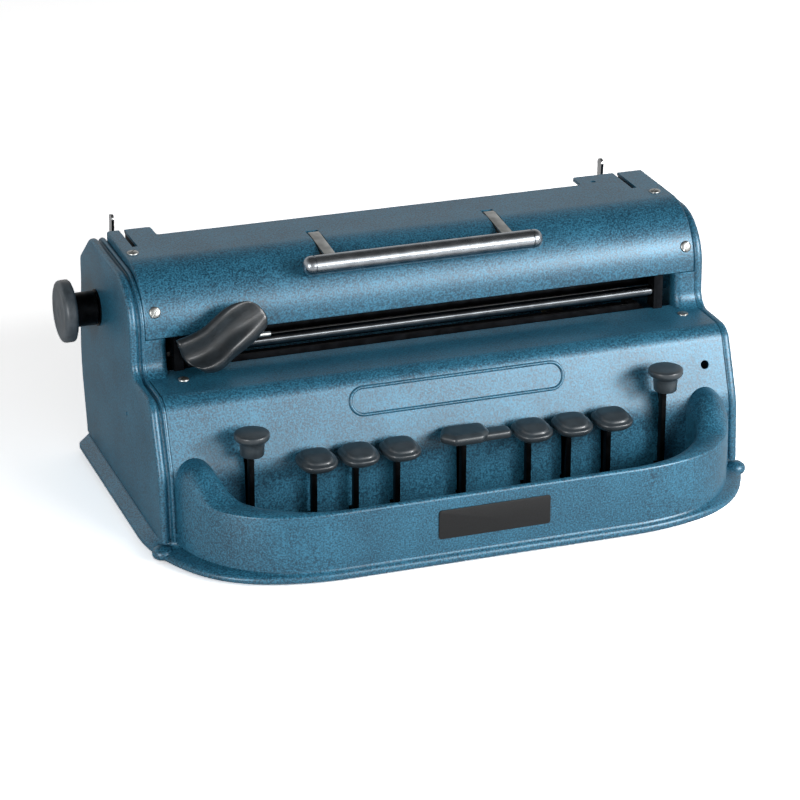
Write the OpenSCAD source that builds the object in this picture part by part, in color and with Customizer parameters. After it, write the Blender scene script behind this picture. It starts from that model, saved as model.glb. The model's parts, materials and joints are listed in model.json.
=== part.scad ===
// Manual braille writer: nine keys on levers, six embossing bars, a carriage on two rails,
// a paper roller with two knobs, and a cast and sheet-metal housing. Millimetres.
// X runs along the paper's width, Y from the keys to the back, Z up from the floor.

/* [Overall] */
// Width over the outer faces of the two side plates
body_w = 350; // [345:1:370]
// Depth from the front rim to the bulge of the back
body_d = 234; // [230:1:250]
// Height of the top cover above the floor
cover_h = 146.5; // [146:0.5:152]
// Height of the shelf under the carriage slot
shelf_h = 88.5; // [87:0.5:89]
// Depth of the key well, from the front rim to the front panel
well_d = 59.5; // [57:0.5:62]

/* [Base] */
// Height of the feet under the casting
foot_h = 2.5; // [2:0.1:4]
// Radius of a rubber foot
foot_r = 9; // [7:0.5:11]
// Height of the flange that runs round the base
flange_h = 8; // [7:0.5:9]
// How far the flange stands out past the side plates
flange_out = 6; // [4:0.5:7]
// Height of the front rim above the floor
rim_h = 42.5; // [38:0.5:44]
// Thickness of the front wall
rim_t = 4; // [3:0.25:5]
// Height of the rounded shoulders at the two ends of the key well
shoulder_h = 59.5; // [56:0.5:61]
// Thickness of the bottom plate
bottom_t = 1.5; // [1:0.25:2]

/* [Shells] */
// Thickness of a side plate's wall
plate_t = 4; // [3:0.25:5]
// Width of the double bead round the left side plate's edge
band_w = 9; // [8:0.25:11]
// Width of the single bead round the right side plate's edge
band_r = 5.5; // [4.5:0.25:7]
// Width of the pillars at the ends of the carriage slot
pillar_w = 12.9; // [11:0.1:14]
// Depth of the groove between the two beads
groove_d = 2; // [1:0.25:3]
// Thickness of the front panel, the cover and the back panel
sheet_t = 2; // [1.5:0.25:2.5]
// How far the top cover stands above the side plates
cover_rise = 4.5; // [3:0.25:5]
// Radius of the top cover's rounded front
cover_r = 34; // [28:0.5:34]
// Height of the carriage slot above the shelf
slot_h = 21; // [20:0.5:21.5]
// Distance from the carriage slot to the bulge of the back
slot_back = 117.5; // [116:0.5:120]
// Width of a slit for a paper release lever
slit_w = 3.2; // [3:0.1:4]

/* [Keys] */
// Distance from the middle of the keyboard to the first dot key
first_key = 39.6; // [38:0.1:41]
// Spacing of the dot keys
key_pitch = 24.6; // [23.5:0.1:26]
// Distance from the middle to the line and backspace keys
side_key = 124; // [120:0.5:127]
// Width of a key lever's steel
lever_t = 3; // [2.5:0.25:4]
// Height of a lever's arm
arm_h = 8; // [7:0.5:8.5]
// Radius of the key shaft
key_shaft_r = 3; // [2.5:0.25:3.5]
// Width of a dot key's cap
cap_w = 20; // [17:0.5:21]
// Length of a dot key's cap from front to back
cap_l = 23; // [21:0.5:24]
// Height of a dot key's cap
cap_h = 9.25; // [8.5:0.25:10]
// Radius of the round caps
round_cap_r = 10; // [9:0.25:11]
// Height of the underside of the dot keys' caps
dot_cap_z = 47; // [44:0.5:49]
// Height of the underside of the line key's cap
line_cap_z = 60; // [57:0.5:62]
// Height of the underside of the backspace key's cap
back_cap_z = 64.5; // [61:0.5:66]

/* [Carriage] */
// Radius of the front rail
front_rail_r = 3.5; // [3:0.25:3.75]
// Radius of the rear rail
rear_rail_r = 4; // [3.5:0.25:4.5]
// Width of the carriage where it rides the front rail
bearing_w = 24; // [20:1:25]
// Width of the carriage inside the machine
jaw_w = 30; // [28:1:34]
// Spacing of the six embossing bars
bar_pitch = 3.5; // [3.3:0.1:3.7]
// Thickness of an embossing bar
bar_t = 2; // [1.5:0.1:2.2]
// Spacing of the dots in a braille cell
dot_pitch = 2.5; // [2.3:0.1:2.6]
// Distance from one cell to the next
cell_pitch = 6.35; // [6:0.05:6.4]

/* [Paper] */
// Radius of the paper roller
drum_r = 17; // [15:0.25:17.25]
// Length of the paper roller
drum_l = 280; // [270:1:284]
// Radius of the roller's shaft
drum_shaft_r = 4; // [3.5:0.25:4.5]
// Radius of a knob
knob_r = 18.25; // [16:0.25:20]
// Thickness of a knob's rim
knob_t = 7.7; // [7:0.1:9]
// Radius of a knob's hub
hub_r = 10; // [8:0.25:11]
// How far a knob's outer face stands out past its side plate
knob_out = 22.7; // [20:0.1:26]
// Height of the release levers' tips above the floor
release_h = 148.5; // [147:0.5:154]

/* [Handle] */
// Length of the handle's grip
grip_l = 145.5; // [130:0.5:150]
// Radius of the grip
grip_r = 5.6; // [4:0.1:6]
// Distance from the middle to each strap
strap_x = 54; // [50:0.5:58]
// Width of a strap
strap_w = 6.5; // [6:0.25:8]

/* [Hidden] */
$fn = 48;
fit_gap = 0.05;      // radial clearance of a shaft in its bore
slide_gap = 0.1;     // clearance of a flat piece in its slot, each side
touch_gap = 0.3;     // gap between two pieces of different bodies that meet when moved

// Housing places
half_w = body_w / 2;
rim_y = -body_d / 2;
rear_y = body_d / 2;
panel_y = rim_y + well_d;
flange_top = foot_h + flange_h;
plate_top = cover_h - cover_rise;
inner_x = half_w - plate_t;
left_end = -(half_w - band_w);
right_end = half_w - band_r;
slot_y = rear_y - slot_back;
slot_top = shelf_h + slot_h;
shelf_d = slot_y - panel_y;
front_r = min(cover_r, cover_h - slot_top - 3);
floor_z = foot_h + 1 + bottom_t;
lip_h = 2.5;

// Key places
key_y = panel_y - 3.5;
key_shaft_z = floor_z + 14;
arm_z = key_shaft_z - 4;
stem_d = 4.5;
keys_mid = 1.2;          // the dot keys and the space bar are centred a little right of the middle
dot_x = [for (k = [0:2]) keys_mid - first_key - k * key_pitch,
    for (k = [0:2]) keys_mid + first_key + k * key_pitch];
space_cap_z = dot_cap_z + 3.5;
round_cap_h = 14.2;
round_cap_out = 3;       // how far a round cap's middle lies in front of its stem
tail_top = key_shaft_z + 5;
short_tail = 12;
long_tail = 38;
foot_in = 8;
cap_grip = 5;

// Carriage places: the middle of the cell being embossed
rail_y = slot_y + 5.5;
rail_z = slot_top - 11;
rear_rail_y = rail_y + 41;
rear_rail_z = shelf_h + 1.5;
cell_y = rail_y + 17;
key_shaft_y = cell_y - foot_in - short_tail;
paper_z = slot_top + 2.5;
carriage_x = -(half_w - 43.5);
bracket_x = half_w - 28.2;
bracket_w = 5.5;
pivot_y = slot_y - 4.3;
pivot_z = slot_top - 3.5;
bar_h = 11;
bar_top = shelf_h - 6.5;
bar_l = 2 * (-carriage_x + 15);
comb_x = bar_l / 2 - 5;
strip_y = cell_y - 14;

// Paper places
drum_y = rear_y - 44.5;
drum_z = cover_h - 42.7;
release_y = drum_y + 2.5;
release_z = drum_z - 23.8;
release_shaft_r = 3;
release_xs = [-(half_w - 18), half_w - 23];
release_back = 28;
release_t = 1.6;
knob_x = half_w + knob_out;
table_x = half_w - 29;
cover_rear_y = drum_y - 5.5;
ear_rear_y = cover_rear_y + 14;
ear_left_x = -(drum_l / 2);
ear_right_x = drum_l / 2 - 16;
back_top = plate_top - 30;
margin_y = rear_y - 13;
margin_z = 60;
margin_stop_x = half_w - 55;
margin_slot_x = half_w - 30;

// Handle places
strap_y = slot_y + 39.5;
strap_z = cover_h - 4;
grip_out = 9.1;      // distance from the cover's front curve to the grip's axis
grip_rise = 42.1;    // where the grip lies on that curve, in degrees above its middle
grip_y = slot_y + front_r - (front_r + grip_out) * cos(grip_rise);
grip_z = cover_h - front_r + (front_r + grip_out) * sin(grip_rise);

// Colours of the real finishes
PAINT = [0.25, 0.44, 0.54];
CAP = [0.23, 0.25, 0.26];
STEEL = [0.62, 0.63, 0.62];
BLACK = [0.06, 0.06, 0.07];
CHROME = [0.8, 0.81, 0.82];
BRASS = [0.72, 0.6, 0.32];

// ---- Outlines: a list of corners [a, b, radius], counter-clockwise ----

function unit(v) = v / norm(v);
function left_of(v) = [-v[1], v[0]];
function side_turn(a, b) = a[0] * b[1] - a[1] * b[0];
function xy(v) = [v[0], v[1]];

// The points of one rounded corner at v, between its neighbours p and q
function corner_points(p, v, q) =
    let (e1 = unit(xy(v) - xy(p)), e2 = unit(xy(q) - xy(v)),
         bend = side_turn(e1, e2), angle = acos(e1 * e2), reach = v[2] * tan(angle / 2))
    v[2] < 0.05 || angle < 1 ? [xy(v)] :
    let (side = sign(bend), start = xy(v) - reach * e1, centre = start + side * v[2] * left_of(e1),
         steps = ceil(angle / 9))
    [for (k = [0:steps]) let (a = side * angle * k / steps, r = start - centre)
        centre + [r[0] * cos(a) - r[1] * sin(a), r[0] * sin(a) + r[1] * cos(a)]];

function rounded(c) = [for (i = [0:len(c) - 1])
    each corner_points(c[(i + len(c) - 1) % len(c)], c[i], c[(i + 1) % len(c)])];

// The same corners moved inwards by d, with their arcs kept parallel
function inset(c, d) = [for (i = [0:len(c) - 1])
    let (v = xy(c[i]), e1 = unit(v - xy(c[(i + len(c) - 1) % len(c)])),
         e2 = unit(xy(c[(i + 1) % len(c)]) - v), m = (left_of(e1) + left_of(e2)) * d / (1 + e1 * e2),
         r = c[i][2])
    [v[0] + m[0], v[1] + m[1], r < 0.05 ? 0 : side_turn(e1, e2) > 0 ? max(r - d, 0) : r + d]];

module shape(corners, d = 0) {
    polygon(rounded(inset(corners, d)));
}

// Turns a drawing of (y, z) into a solid from x0 to x1
module along_x(x0, x1) {
    translate([x0, 0, 0]) rotate([90, 0, 90]) linear_extrude(x1 - x0) children();
}

// Turns a drawing of (x, z) into a solid from y0 to y1
module along_y(y0, y1) {
    translate([0, y1, 0]) rotate([90, 0, 0]) linear_extrude(y1 - y0) children();
}

module rod(x0, x1, y, z, r) {
    along_x(x0, x1) translate([y, z]) circle(r);
}

module both_sides() {
    children();
    mirror([1, 0, 0]) children();
}

// The side plate's outline in (y, z)
plate_corners = [
    [panel_y, flange_top, 0],
    [rear_y - 9, flange_top, 0],
    [rear_y - 8.5, flange_top + 5, 10],
    [rear_y + 2, 59, 100],
    [rear_y - 5.5, plate_top - 37, 60],
    [rear_y - 5.5, plate_top - 15.7, 6],
    [drum_y - 4.5, plate_top, 40],
    [slot_y, plate_top, 30],
    [slot_y - 1, shelf_h, min(9, 0.45 * (shelf_d - 19.5))],
    [panel_y + 18.5, shelf_h, min(12, 0.6 * (shelf_d - 19.5))],
    [panel_y + 2.7, shelf_h - 40.5, 39]];

// The front panel's outline in (y, z): the panel and shelf are a skin on its front and top
shelf_back = slot_y + 4;
panel_corners = [
    [panel_y + 1, floor_z + lip_h + touch_gap, 0],
    [slot_y + 30, floor_z + lip_h + touch_gap, 0],
    [slot_y + 30, shelf_h, 0],
    [panel_y + 18.8, shelf_h, min(11, 0.6 * (shelf_d - 19.5))],
    [panel_y + 3.4, shelf_h - 40.5, 38]];

// The top cover's outline in (y, z), once with the ears' length and once with the middle's
function cover_corners(back, bottom) = [
    [slot_y, bottom, 0],
    [back, bottom, 0],
    [back, cover_h, 3],
    [slot_y, cover_h, front_r]];

// The base flange's outline in (x, y), and the outline of the wall that stands on it
flange_corners = [
    [-half_w + 71, rim_y, 140], [half_w - 71, rim_y, 140],
    [half_w - 21, rim_y + 14.5, 68], [half_w + flange_out, panel_y + 5, 96],
    [half_w + flange_out, rear_y - 8.5, 6], [-half_w - flange_out, rear_y - 8.5, 6],
    [-half_w - flange_out, panel_y + 5, 96], [-half_w + 21, rim_y + 14.5, 68]];
wall_corners = [
    [-half_w + 73, rim_y + 2, 132], [half_w - 73, rim_y + 2, 132],
    [half_w - 25, rim_y + 15.5, 64], [half_w, panel_y + 3, 90],
    [half_w, rear_y - 9, 4], [-half_w, rear_y - 9, 4],
    [-half_w, panel_y + 3, 90], [-half_w + 25, rim_y + 15.5, 64]];
// The key well's outline in (x, y): the ring between it and the wall widens into the shoulders
well_x = half_w - 33;
well_corners = [
    [-well_x + 52, rim_y + 2 + rim_t, 80], [well_x - 52, rim_y + 2 + rim_t, 80],
    [well_x - 24, rim_y + 14, 58], [well_x, panel_y - 19, 40],
    [well_x, panel_y + 30, 0], [-well_x, panel_y + 30, 0],
    [-well_x, panel_y - 19, 40], [-well_x + 24, rim_y + 14, 58]];

// ---- Housing ----

// The space that the side plates and the front panel fill, cut out of the base casting's front
module housing_space() {
    along_x(-half_w - 1, left_end) shape(plate_corners);
    along_x(right_end, half_w + 1) shape(plate_corners);
    along_x(left_end, right_end) shape(panel_corners);
}

module base_casting() {
    color(PAINT) difference() {
        union() {
            // Flange with a sloped top, open inside
            difference() {
                union() {
                    translate([0, 0, foot_h]) linear_extrude(flange_h / 2) shape(flange_corners);
                    hull() {
                        translate([0, 0, foot_h + flange_h / 2 - 0.01]) linear_extrude(0.01)
                            shape(flange_corners);
                        translate([0, 0, flange_top - 0.01]) linear_extrude(0.01)
                            shape(wall_corners);
                    }
                }
                translate([0, 0, foot_h - 1]) linear_extrude(flange_h + 2) shape(flange_corners, 14);
            }
            // Lip that the bottom plate is screwed to
            translate([0, 0, floor_z]) linear_extrude(lip_h) difference() {
                shape(flange_corners, 13);
                shape(flange_corners, 24);
            }
            // Front wall with its rim, higher towards the side plates
            intersection() {
                translate([0, 0, flange_top - 1]) linear_extrude(shoulder_h) difference() {
                    shape(wall_corners);
                    shape(well_corners);
                }
                union() {
                    translate([-half_w, rim_y, 0]) cube([body_w, well_d + 12, rim_h]);
                    // Rounded shoulders at the ends of the well
                    both_sides() hull() {
                        translate([half_w - 19, panel_y + 3, shoulder_h - 16]) sphere(16, $fn = 40);
                        translate([half_w - 24, rim_y + 34, rim_h - 11]) sphere(13, $fn = 32);
                        translate([half_w - 46, rim_y + 14, rim_h - 14]) sphere(13, $fn = 32);
                    }
                }
            }
        }
        housing_space();
        bottom_screw_places() translate([0, 0, floor_z - 1]) cylinder(h = 5, r = 1.5);
    }
}

module bottom_screw_places() {
    for (x = [-1, 1], y = [panel_y + 10.5, rear_y - 60]) translate([x * (half_w - 14), y, 0]) children();
    for (x = [-1, 1]) translate([x * (half_w - 105), rim_y + 19, 0]) children();
    for (x = [-1, 1]) translate([x * (half_w - 85), rear_y - 27.5, 0]) children();
}

module foot_places() {
    for (x = [-1, 1]) translate([x * (half_w - 31), rear_y - 40, 0]) children();
    for (x = [-1, 1]) translate([x * (half_w - 65), rim_y + 38, 0]) children();
}

module bottom_plate() {
    color(STEEL) difference() {
        translate([0, 0, foot_h + 1]) linear_extrude(bottom_t) shape(flange_corners, 14.3);
        bottom_screw_places() cylinder(h = 20, r = 1.7, center = true);
    }
}

module rubber_feet() {
    color(BLACK) foot_places() cylinder(h = foot_h + 1, r = foot_r);
}

// One side plate, on the +X side: a flat wall with a beaded band of width w round its edge
module side_plate(w, grooved) {
    difference() {
        union() {
            along_x(inner_x, half_w) shape(plate_corners);
            along_x(half_w - w, inner_x) difference() {
                shape(plate_corners);
                shape(plate_corners, 5);
            }
            // Pillar at the end of the carriage slot
            translate([half_w - w - pillar_w, slot_y + 0.2, shelf_h]) cube([pillar_w, 8, slot_h]);
            // Bosses that carry the shafts and rails
            rod(inner_x - 6, inner_x, key_shaft_y, key_shaft_z, key_shaft_r + 4);
            rod(inner_x - 6, inner_x, rear_rail_y, rear_rail_z, rear_rail_r + 4);
            rod(inner_x - 6, inner_x, release_y, release_z, release_shaft_r + 4);
            rod(inner_x - 6, inner_x, margin_y, margin_z, 6);
            rod(inner_x - 3, inner_x, drum_y, drum_z, hub_r + 2);
        }
        // Groove between the beads
        if (grooved) along_x(half_w - 6.8, half_w - 4.8) difference() {
            shape(plate_corners, -5);
            shape(plate_corners, groove_d);
        }
        rod(inner_x - 7, inner_x + 1, key_shaft_y, key_shaft_z, key_shaft_r);
        rod(inner_x - 7, inner_x + 1, rear_rail_y, rear_rail_z, rear_rail_r);
        rod(inner_x - 7, inner_x + 1, release_y, release_z, release_shaft_r + fit_gap);
        rod(inner_x - 7, inner_x + 1, margin_y, margin_z, 3);
        rod(inner_x - 7, half_w + 1, drum_y, drum_z, hub_r - 2);
    }
}

module side_plate_left() {
    color(PAINT) mirror([1, 0, 0]) side_plate(band_w, true);
}

module side_plate_right() {
    color(PAINT) side_plate(band_r, false);
}

oval_x = 4.3;

// Puts a drawing on the sloping face of the front panel, centred at the height z
module on_panel(x, z) {
    slope = atan2(40.5, 15.4);
    face_y = panel_y + 3.4 + (z - shelf_h + 40.5) * 15.4 / 40.5;
    translate([x, face_y, z]) rotate([slope, 0, 0]) children();
}

module stadium(l, h) {
    for (s = [-1, 1]) translate([s * (l - h) / 2, 0]) circle(h / 2);
    square([l - h, h], center = true);
}

module front_panel() {
    color(PAINT) difference() {
        union() {
            along_x(left_end, right_end) difference() {
                shape(panel_corners);
                shape(panel_corners, sheet_t);
                translate([shelf_back, 0]) square([60, shelf_h + 1]);
                translate([panel_y + 9, 0]) square([80, 20]);
            }
            // Flange turned down at the back of the shelf
            along_x(left_end, right_end) translate([shelf_back - sheet_t, shelf_h - 10])
                square([sheet_t, 9.5]);
            // Raised oval outline, empty inside
            on_panel(oval_x, shelf_h - 14) translate([0, 0, -0.6]) linear_extrude(1.4) difference() {
                stadium(130, 17);
                stadium(126.8, 13.8);
            }
        }
        // Slots for the nine levers
        for (x = concat(dot_x, [keys_mid, -side_key, side_key]))
            translate([x - lever_t / 2 - 0.8, panel_y - 5, 0])
                cube([lever_t + 1.6, 20, arm_z + arm_h + 2.5]);
        // Small adjustment hole at the right
        on_panel(half_w - 18, shelf_h - 19.5) cylinder(h = 20, r = 2.6, center = true);
        shelf_screw_places() translate([0, 0, -6]) cylinder(h = 10, r = 1.5);
    }
}

// Screws that hold the shelf, in front of the two pillars
module shelf_screw_places() {
    for (x = [left_end + 18, right_end - 12.3]) translate([x, slot_y - 12.5, shelf_h]) children();
}

// The cover's skin in (y, z): its front and top, t thick
module cover_skin(t) {
    difference() {
        shape(cover_corners(ear_rear_y, slot_top));
        shape(cover_corners(ear_rear_y + 20, slot_top - 20), t);
    }
}

module top_cover() {
    middle = ear_right_x - ear_left_x;
    color(PAINT) difference() {
        union() {
            along_x(left_end + sheet_t, right_end - sheet_t) cover_skin(sheet_t);
            // End walls that reach down to the side plates
            along_x(left_end, left_end + sheet_t) cover_skin(8);
            along_x(right_end - sheet_t, right_end) cover_skin(8);
            // Lugs under the top that the handle turns on
            for (s = [-1, 1], t = [-1, 1])
                along_x(s * strap_x + t * (strap_w / 2 + 2) - 1.5, s * strap_x + t * (strap_w / 2 + 2) + 1.5)
                    translate([strap_y - 4, strap_z - 4]) square([8, cover_h - strap_z + 3]);
        }
        // The middle is cut shorter than the ears
        translate([ear_left_x, cover_rear_y, slot_top]) cube([middle, 40, 50]);
        for (x = release_xs)
            translate([x - slit_w / 2, ear_rear_y - 30, cover_h - 10]) cube([slit_w, 50, 20]);
        for (s = [-1, 1]) {
            translate([s * strap_x - strap_w / 2 - 0.5, slot_y + 13.5, cover_h - 14])
                cube([strap_w + 1, strap_y + 4.5 - slot_y - 13.5, 20]);
            rod(s * strap_x - strap_w, s * strap_x + strap_w, strap_y, strap_z, 1.5 + fit_gap);
        }
        // Small hole in the right ear
        translate([right_end - 36.4, cover_rear_y + 2.5, cover_h - 10]) cylinder(h = 20, r = 1.6);
        cover_screw_places() cylinder(h = 12, r = 1.5, center = true);
    }
}

// Screws on the front curve of the cover, and on its top
module cover_screw_places() {
    rise = 21;
    for (x = [left_end + 6.4, right_end - 5.2])
        translate([x, slot_y + front_r * (1 - cos(rise)), cover_h - front_r * (1 - sin(rise))])
            rotate([90 - rise, 0, 0]) children();
    for (s = [-1, 1]) translate([s * (half_w - 14), slot_y + 41.5, cover_h]) children();
}

// The back panel follows the side plates' rear edge, a little inside it
module back_panel() {
    color(PAINT) difference() {
        along_x(left_end, right_end) difference() {
            shape(plate_corners, 3);
            shape(plate_corners, 3 + sheet_t);
            translate([panel_y - 5, 0]) square([rear_y - 25 - panel_y, 200]);
            translate([0, back_top]) square([200, 60]);
            square([rear_y - 18, 200]);
            square([200, flange_top + 3.01]);
        }
        // Slot that the margin stops reach through
        translate([-margin_slot_x, rear_y - 15, margin_z - 2]) cube([2 * margin_slot_x, 30, 9]);
    }
}

// Sheet that guides the paper down to the roller
module paper_table() {
    t = 1.5;
    y1 = rear_y - 8.5;
    y0 = drum_y + drum_r + 1;
    color(PAINT) along_x(-table_x, table_x) polygon([
        [y1, back_top], [y1, plate_top - 14], [y0 + 2, plate_top - 10], [y0, plate_top - 16],
        [y0 + t, plate_top - 16.4], [y0 + 3, plate_top - 11.7], [y1 - t, plate_top - 15.2],
        [y1 - t, back_top]]);
}

// Blank dark plate on the front wall
module label_plate() {
    color(BLACK) translate([-33, rim_y + 1.2, foot_h + 15]) cube([66, 0.8, 17.3]);
}

module pan_screw(r, h) {
    difference() {
        union() {
            cylinder(h = h, r = r);
            translate([0, 0, -5]) cylinder(h = 5.01, r = 1.5);
        }
        translate([-r, -0.4, h - 0.6]) cube([2 * r, 0.8, 1]);
    }
}

module housing_screws() {
    color(CHROME) {
        cover_screw_places() pan_screw(3.4, 1.3);
        shelf_screw_places() pan_screw(3.2, 1.3);
        bottom_screw_places() translate([0, 0, foot_h + 1]) mirror([0, 0, 1]) pan_screw(2.8, 0.8);
    }
}

// ---- Fixed pieces of the mechanism ----

module key_shaft() {
    color(STEEL) rod(-inner_x - 1, inner_x + 1, key_shaft_y, key_shaft_z, key_shaft_r);
}

module front_rail() {
    color(CHROME) rod(-bracket_x - 2.5, bracket_x + 2.5, rail_y, rail_z, front_rail_r);
}

module rear_rail() {
    color(CHROME) rod(-inner_x - 1, inner_x + 1, rear_rail_y, rear_rail_z, rear_rail_r);
}

// Blocks on the shelf that hold the ends of the front rail
module rail_brackets() {
    color(BLACK) both_sides() difference() {
        translate([bracket_x - bracket_w / 2, slot_y + 0.6, shelf_h]) cube([bracket_w, 9, slot_h - 0.5]);
        rod(bracket_x - 10, bracket_x + 10, rail_y, rail_z, front_rail_r);
    }
}

// Strip behind the shelf's edge, with one ratchet tooth for each cell along its lower edge
module escapement_rack() {
    teeth = floor(2 * (half_w - 38.5) / cell_pitch);
    x0 = -teeth * cell_pitch / 2;
    x1 = x0 + teeth * cell_pitch;
    top = shelf_h + 2;
    low = top - 14;
    color(STEEL) {
        along_y(strip_y - 2, strip_y) polygon([
            [x0 - 4, low],
            for (k = [0:teeth - 1]) each [
                [x0 + k * cell_pitch, low],
                [x0 + (k + 1) * cell_pitch - 0.6, low + 2.2],
                [x0 + (k + 1) * cell_pitch - 0.6, low]],
            [x1 + 4, low], [x1 + 4, top], [x0 - 4, top]]);
        // Feet that rest against the shelf's turned flange
        for (s = [-1, 1]) translate([s * (half_w - 35.5) - 5, shelf_back, shelf_h - 8])
            cube([10, strip_y - shelf_back, 6]);
    }
}

// Slotted combs that guide the bars, the line pawl's guide, and the posts of bell and drum
module inner_brackets() {
    comb_d = 6 * bar_pitch + 5;
    color(STEEL) {
        both_sides() {
            difference() {
                translate([comb_x - 3, cell_y - comb_d / 2, bar_top - 22]) cube([6, comb_d, 23.5]);
                for (k = [0:5]) translate([comb_x - 4, bar_y(k) - bar_t / 2 - slide_gap, bar_top - bar_h - 0.5])
                    cube([8, bar_t + 2 * slide_gap, 20]);
            }
            translate([comb_x + 3, cell_y - 4, bar_top - 22]) cube([inner_x - comb_x - 3, 8, 8]);
        }
        // Guide of the line pawl
        difference() {
            translate([-inner_x, pawl_y - 9, 45]) cube([inner_x - pawl_x + 5.5, 12, 9]);
            translate([-pawl_x - 1.5 - slide_gap, pawl_y - 6 - slide_gap, 40])
                cube([3 + 2 * slide_gap, 6 + 2 * slide_gap, 20]);
        }
        // Spindle of the mainspring drum
        translate([spring_x, spring_y, floor_z]) {
            cylinder(h = 24.7, r = 7);
            cylinder(h = 43, r = 4);
        }
    }
}

module roller_bushes() {
    color(BLACK) both_sides() difference() {
        union() {
            rod(inner_x - 3, half_w, drum_y, drum_z, hub_r - 2);
            rod(half_w, half_w + 0.8, drum_y, drum_z, hub_r + 0.8);
        }
        rod(inner_x - 5, half_w + 3, drum_y, drum_z, drum_shaft_r + fit_gap);
    }
}

bell_x = -(half_w - 63);
bell_y = rear_y - 46;

// Dome on a post, open underneath
module bell() {
    color(BRASS) translate([bell_x, bell_y, floor_z]) {
        translate([0, 0, 12]) rotate_extrude() difference() {
            intersection() {
                circle(17);
                square([17, 17]);
            }
            circle(15.5);
        }
        cylinder(h = 28, r = 3);
    }
}

module margin_rail() {
    color(STEEL) rod(-inner_x - 1, inner_x + 1, margin_y, margin_z, 3);
}

// One spring under each lever's arm
module key_springs() {
    color(STEEL) for (x = concat(dot_x, [keys_mid, -side_key, side_key]))
        translate([x, key_shaft_y - 26, floor_z]) difference() {
            cylinder(h = arm_z - floor_z, r = 3.5);
            translate([0, 0, -1]) cylinder(h = 30, r = 2.7);
        }
}

// ---- Keys ----

// A flat steel lever on the key shaft: stem in front, tail behind
module lever(x, cap_z, tail) {
    color(BLACK) difference() {
        along_x(x - lever_t / 2, x + lever_t / 2) {
            translate([key_shaft_y, key_shaft_z]) circle(key_shaft_r + 4);
            translate([key_y - stem_d / 2, arm_z]) square([key_shaft_y - key_y + stem_d / 2, arm_h]);
            translate([key_y - stem_d / 2, arm_z]) square([stem_d, cap_z + cap_grip - arm_z]);
            translate([key_shaft_y, key_shaft_z - 2]) square([tail, tail_top - key_shaft_z + 2]);
        }
        rod(x - lever_t, x + lever_t, key_shaft_y, key_shaft_z, key_shaft_r + fit_gap);
    }
}

// The space in a cap that the stem is pressed into
module stem_pocket(cap_z) {
    translate([-lever_t / 2, key_y - stem_d / 2, cap_z - 1]) cube([lever_t, stem_d, cap_grip + 1]);
}

// A dot key's cap: crowned on top, drawn in below, with a narrow nose towards the reader
module dot_cap(x) {
    mid_y = key_y - cap_l / 2 + 5;
    color(CAP) translate([x, 0, 0]) difference() {
        intersection() {
            translate([0, mid_y, dot_cap_z - 2]) linear_extrude(cap_h + 4)
                shape([[-cap_w / 2 + 4, -cap_l / 2 - 1, 4], [cap_w / 2 - 4, -cap_l / 2 - 1, 4],
                    [cap_w / 2 + 0.5, -cap_l / 2 + 9, 6], [cap_w / 2 - 0.5, cap_l / 2 + 1, 5],
                    [-cap_w / 2 + 0.5, cap_l / 2 + 1, 5], [-cap_w / 2 - 0.5, -cap_l / 2 + 9, 6]]);
            along_x(-cap_w, cap_w) translate([mid_y, dot_cap_z])
                shape([[-3, 0, 2], [cap_l / 2 - 1, 0, 2], [cap_l / 2, cap_h - 5, 2],
                    [cap_l / 2, cap_h - 0.5, 2], [0, cap_h, 14], [-cap_l / 2, cap_h - 3, 2],
                    [-cap_l / 2, cap_h - 6, 1]]);
            along_y(mid_y - cap_l, mid_y + cap_l) translate([0, dot_cap_z])
                shape([[-3, -1, 0], [3, -1, 0], [cap_w / 2, 4, 2.5], [cap_w / 2 - 3, cap_h + 0.7, 4],
                    [-cap_w / 2 + 3, cap_h + 0.7, 4], [-cap_w / 2, 4, 2.5]]);
        }
        stem_pocket(dot_cap_z);
    }
}

// The space bar: a pad over its stem and a bar that runs on to the right
module space_bar() {
    z = space_cap_z;
    right = first_key - cap_w / 2 - 2.8;
    color(CAP) translate([keys_mid, 0, 0]) difference() {
        intersection() {
            translate([0, key_y, z - 1]) linear_extrude(10) union() {
                shape([[-17, -5, 3], [-9, -13, 5], [9, -13, 5], [16, -7, 6], [16, 7, 5], [-11, 8, 6]]);
                shape([[0, -8, 0], [right, -8, 3], [right, 2, 3], [0, 2, 0]]);
            }
            along_x(-20, 30) translate([key_y, z])
                shape([[-6, 0, 2], [4, 0, 1], [5, 3, 1], [5, 6, 1], [-2, 7, 20], [-12, 5.5, 1],
                    [-12, 3, 1]]);
        }
        stem_pocket(z);
    }
}

// A round cap: a wide flat top on a narrower body
module round_cap(x, z) {
    color(CAP) difference() {
        translate([x, key_y - round_cap_out, z]) rotate_extrude() polygon([[0, 0], [6.5, 0], [7.4, 1],
            [7.8, round_cap_h - 5.8], [round_cap_r - 0.4, round_cap_h - 4],
            [round_cap_r, round_cap_h - 3.2], [round_cap_r, round_cap_h - 1.2],
            [round_cap_r - 0.6, round_cap_h - 0.6], [0, round_cap_h]]);
        translate([x, 0, 0]) stem_pocket(z);
    }
}

// ---- Embossing ----

function bar_y(k) = cell_y + (2.5 - k) * bar_pitch;

// A long bar under the carriage's path, with a leg down to its key lever's tail
module emboss_bar(k) {
    x = dot_x[k];
    foot_y = key_shaft_y + short_tail - 2;
    foot_z = tail_top + touch_gap;
    color(STEEL) {
        translate([-bar_l / 2, bar_y(k) - bar_t / 2, bar_top - bar_h]) cube([bar_l, bar_t, bar_h]);
        translate([x - 4, bar_y(k) - bar_t / 2, foot_z]) cube([8, bar_t, bar_top - bar_h - foot_z + 1]);
        translate([x - 4, foot_y, foot_z]) cube([8, bar_y(k) - foot_y, 3]);
    }
}

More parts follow.
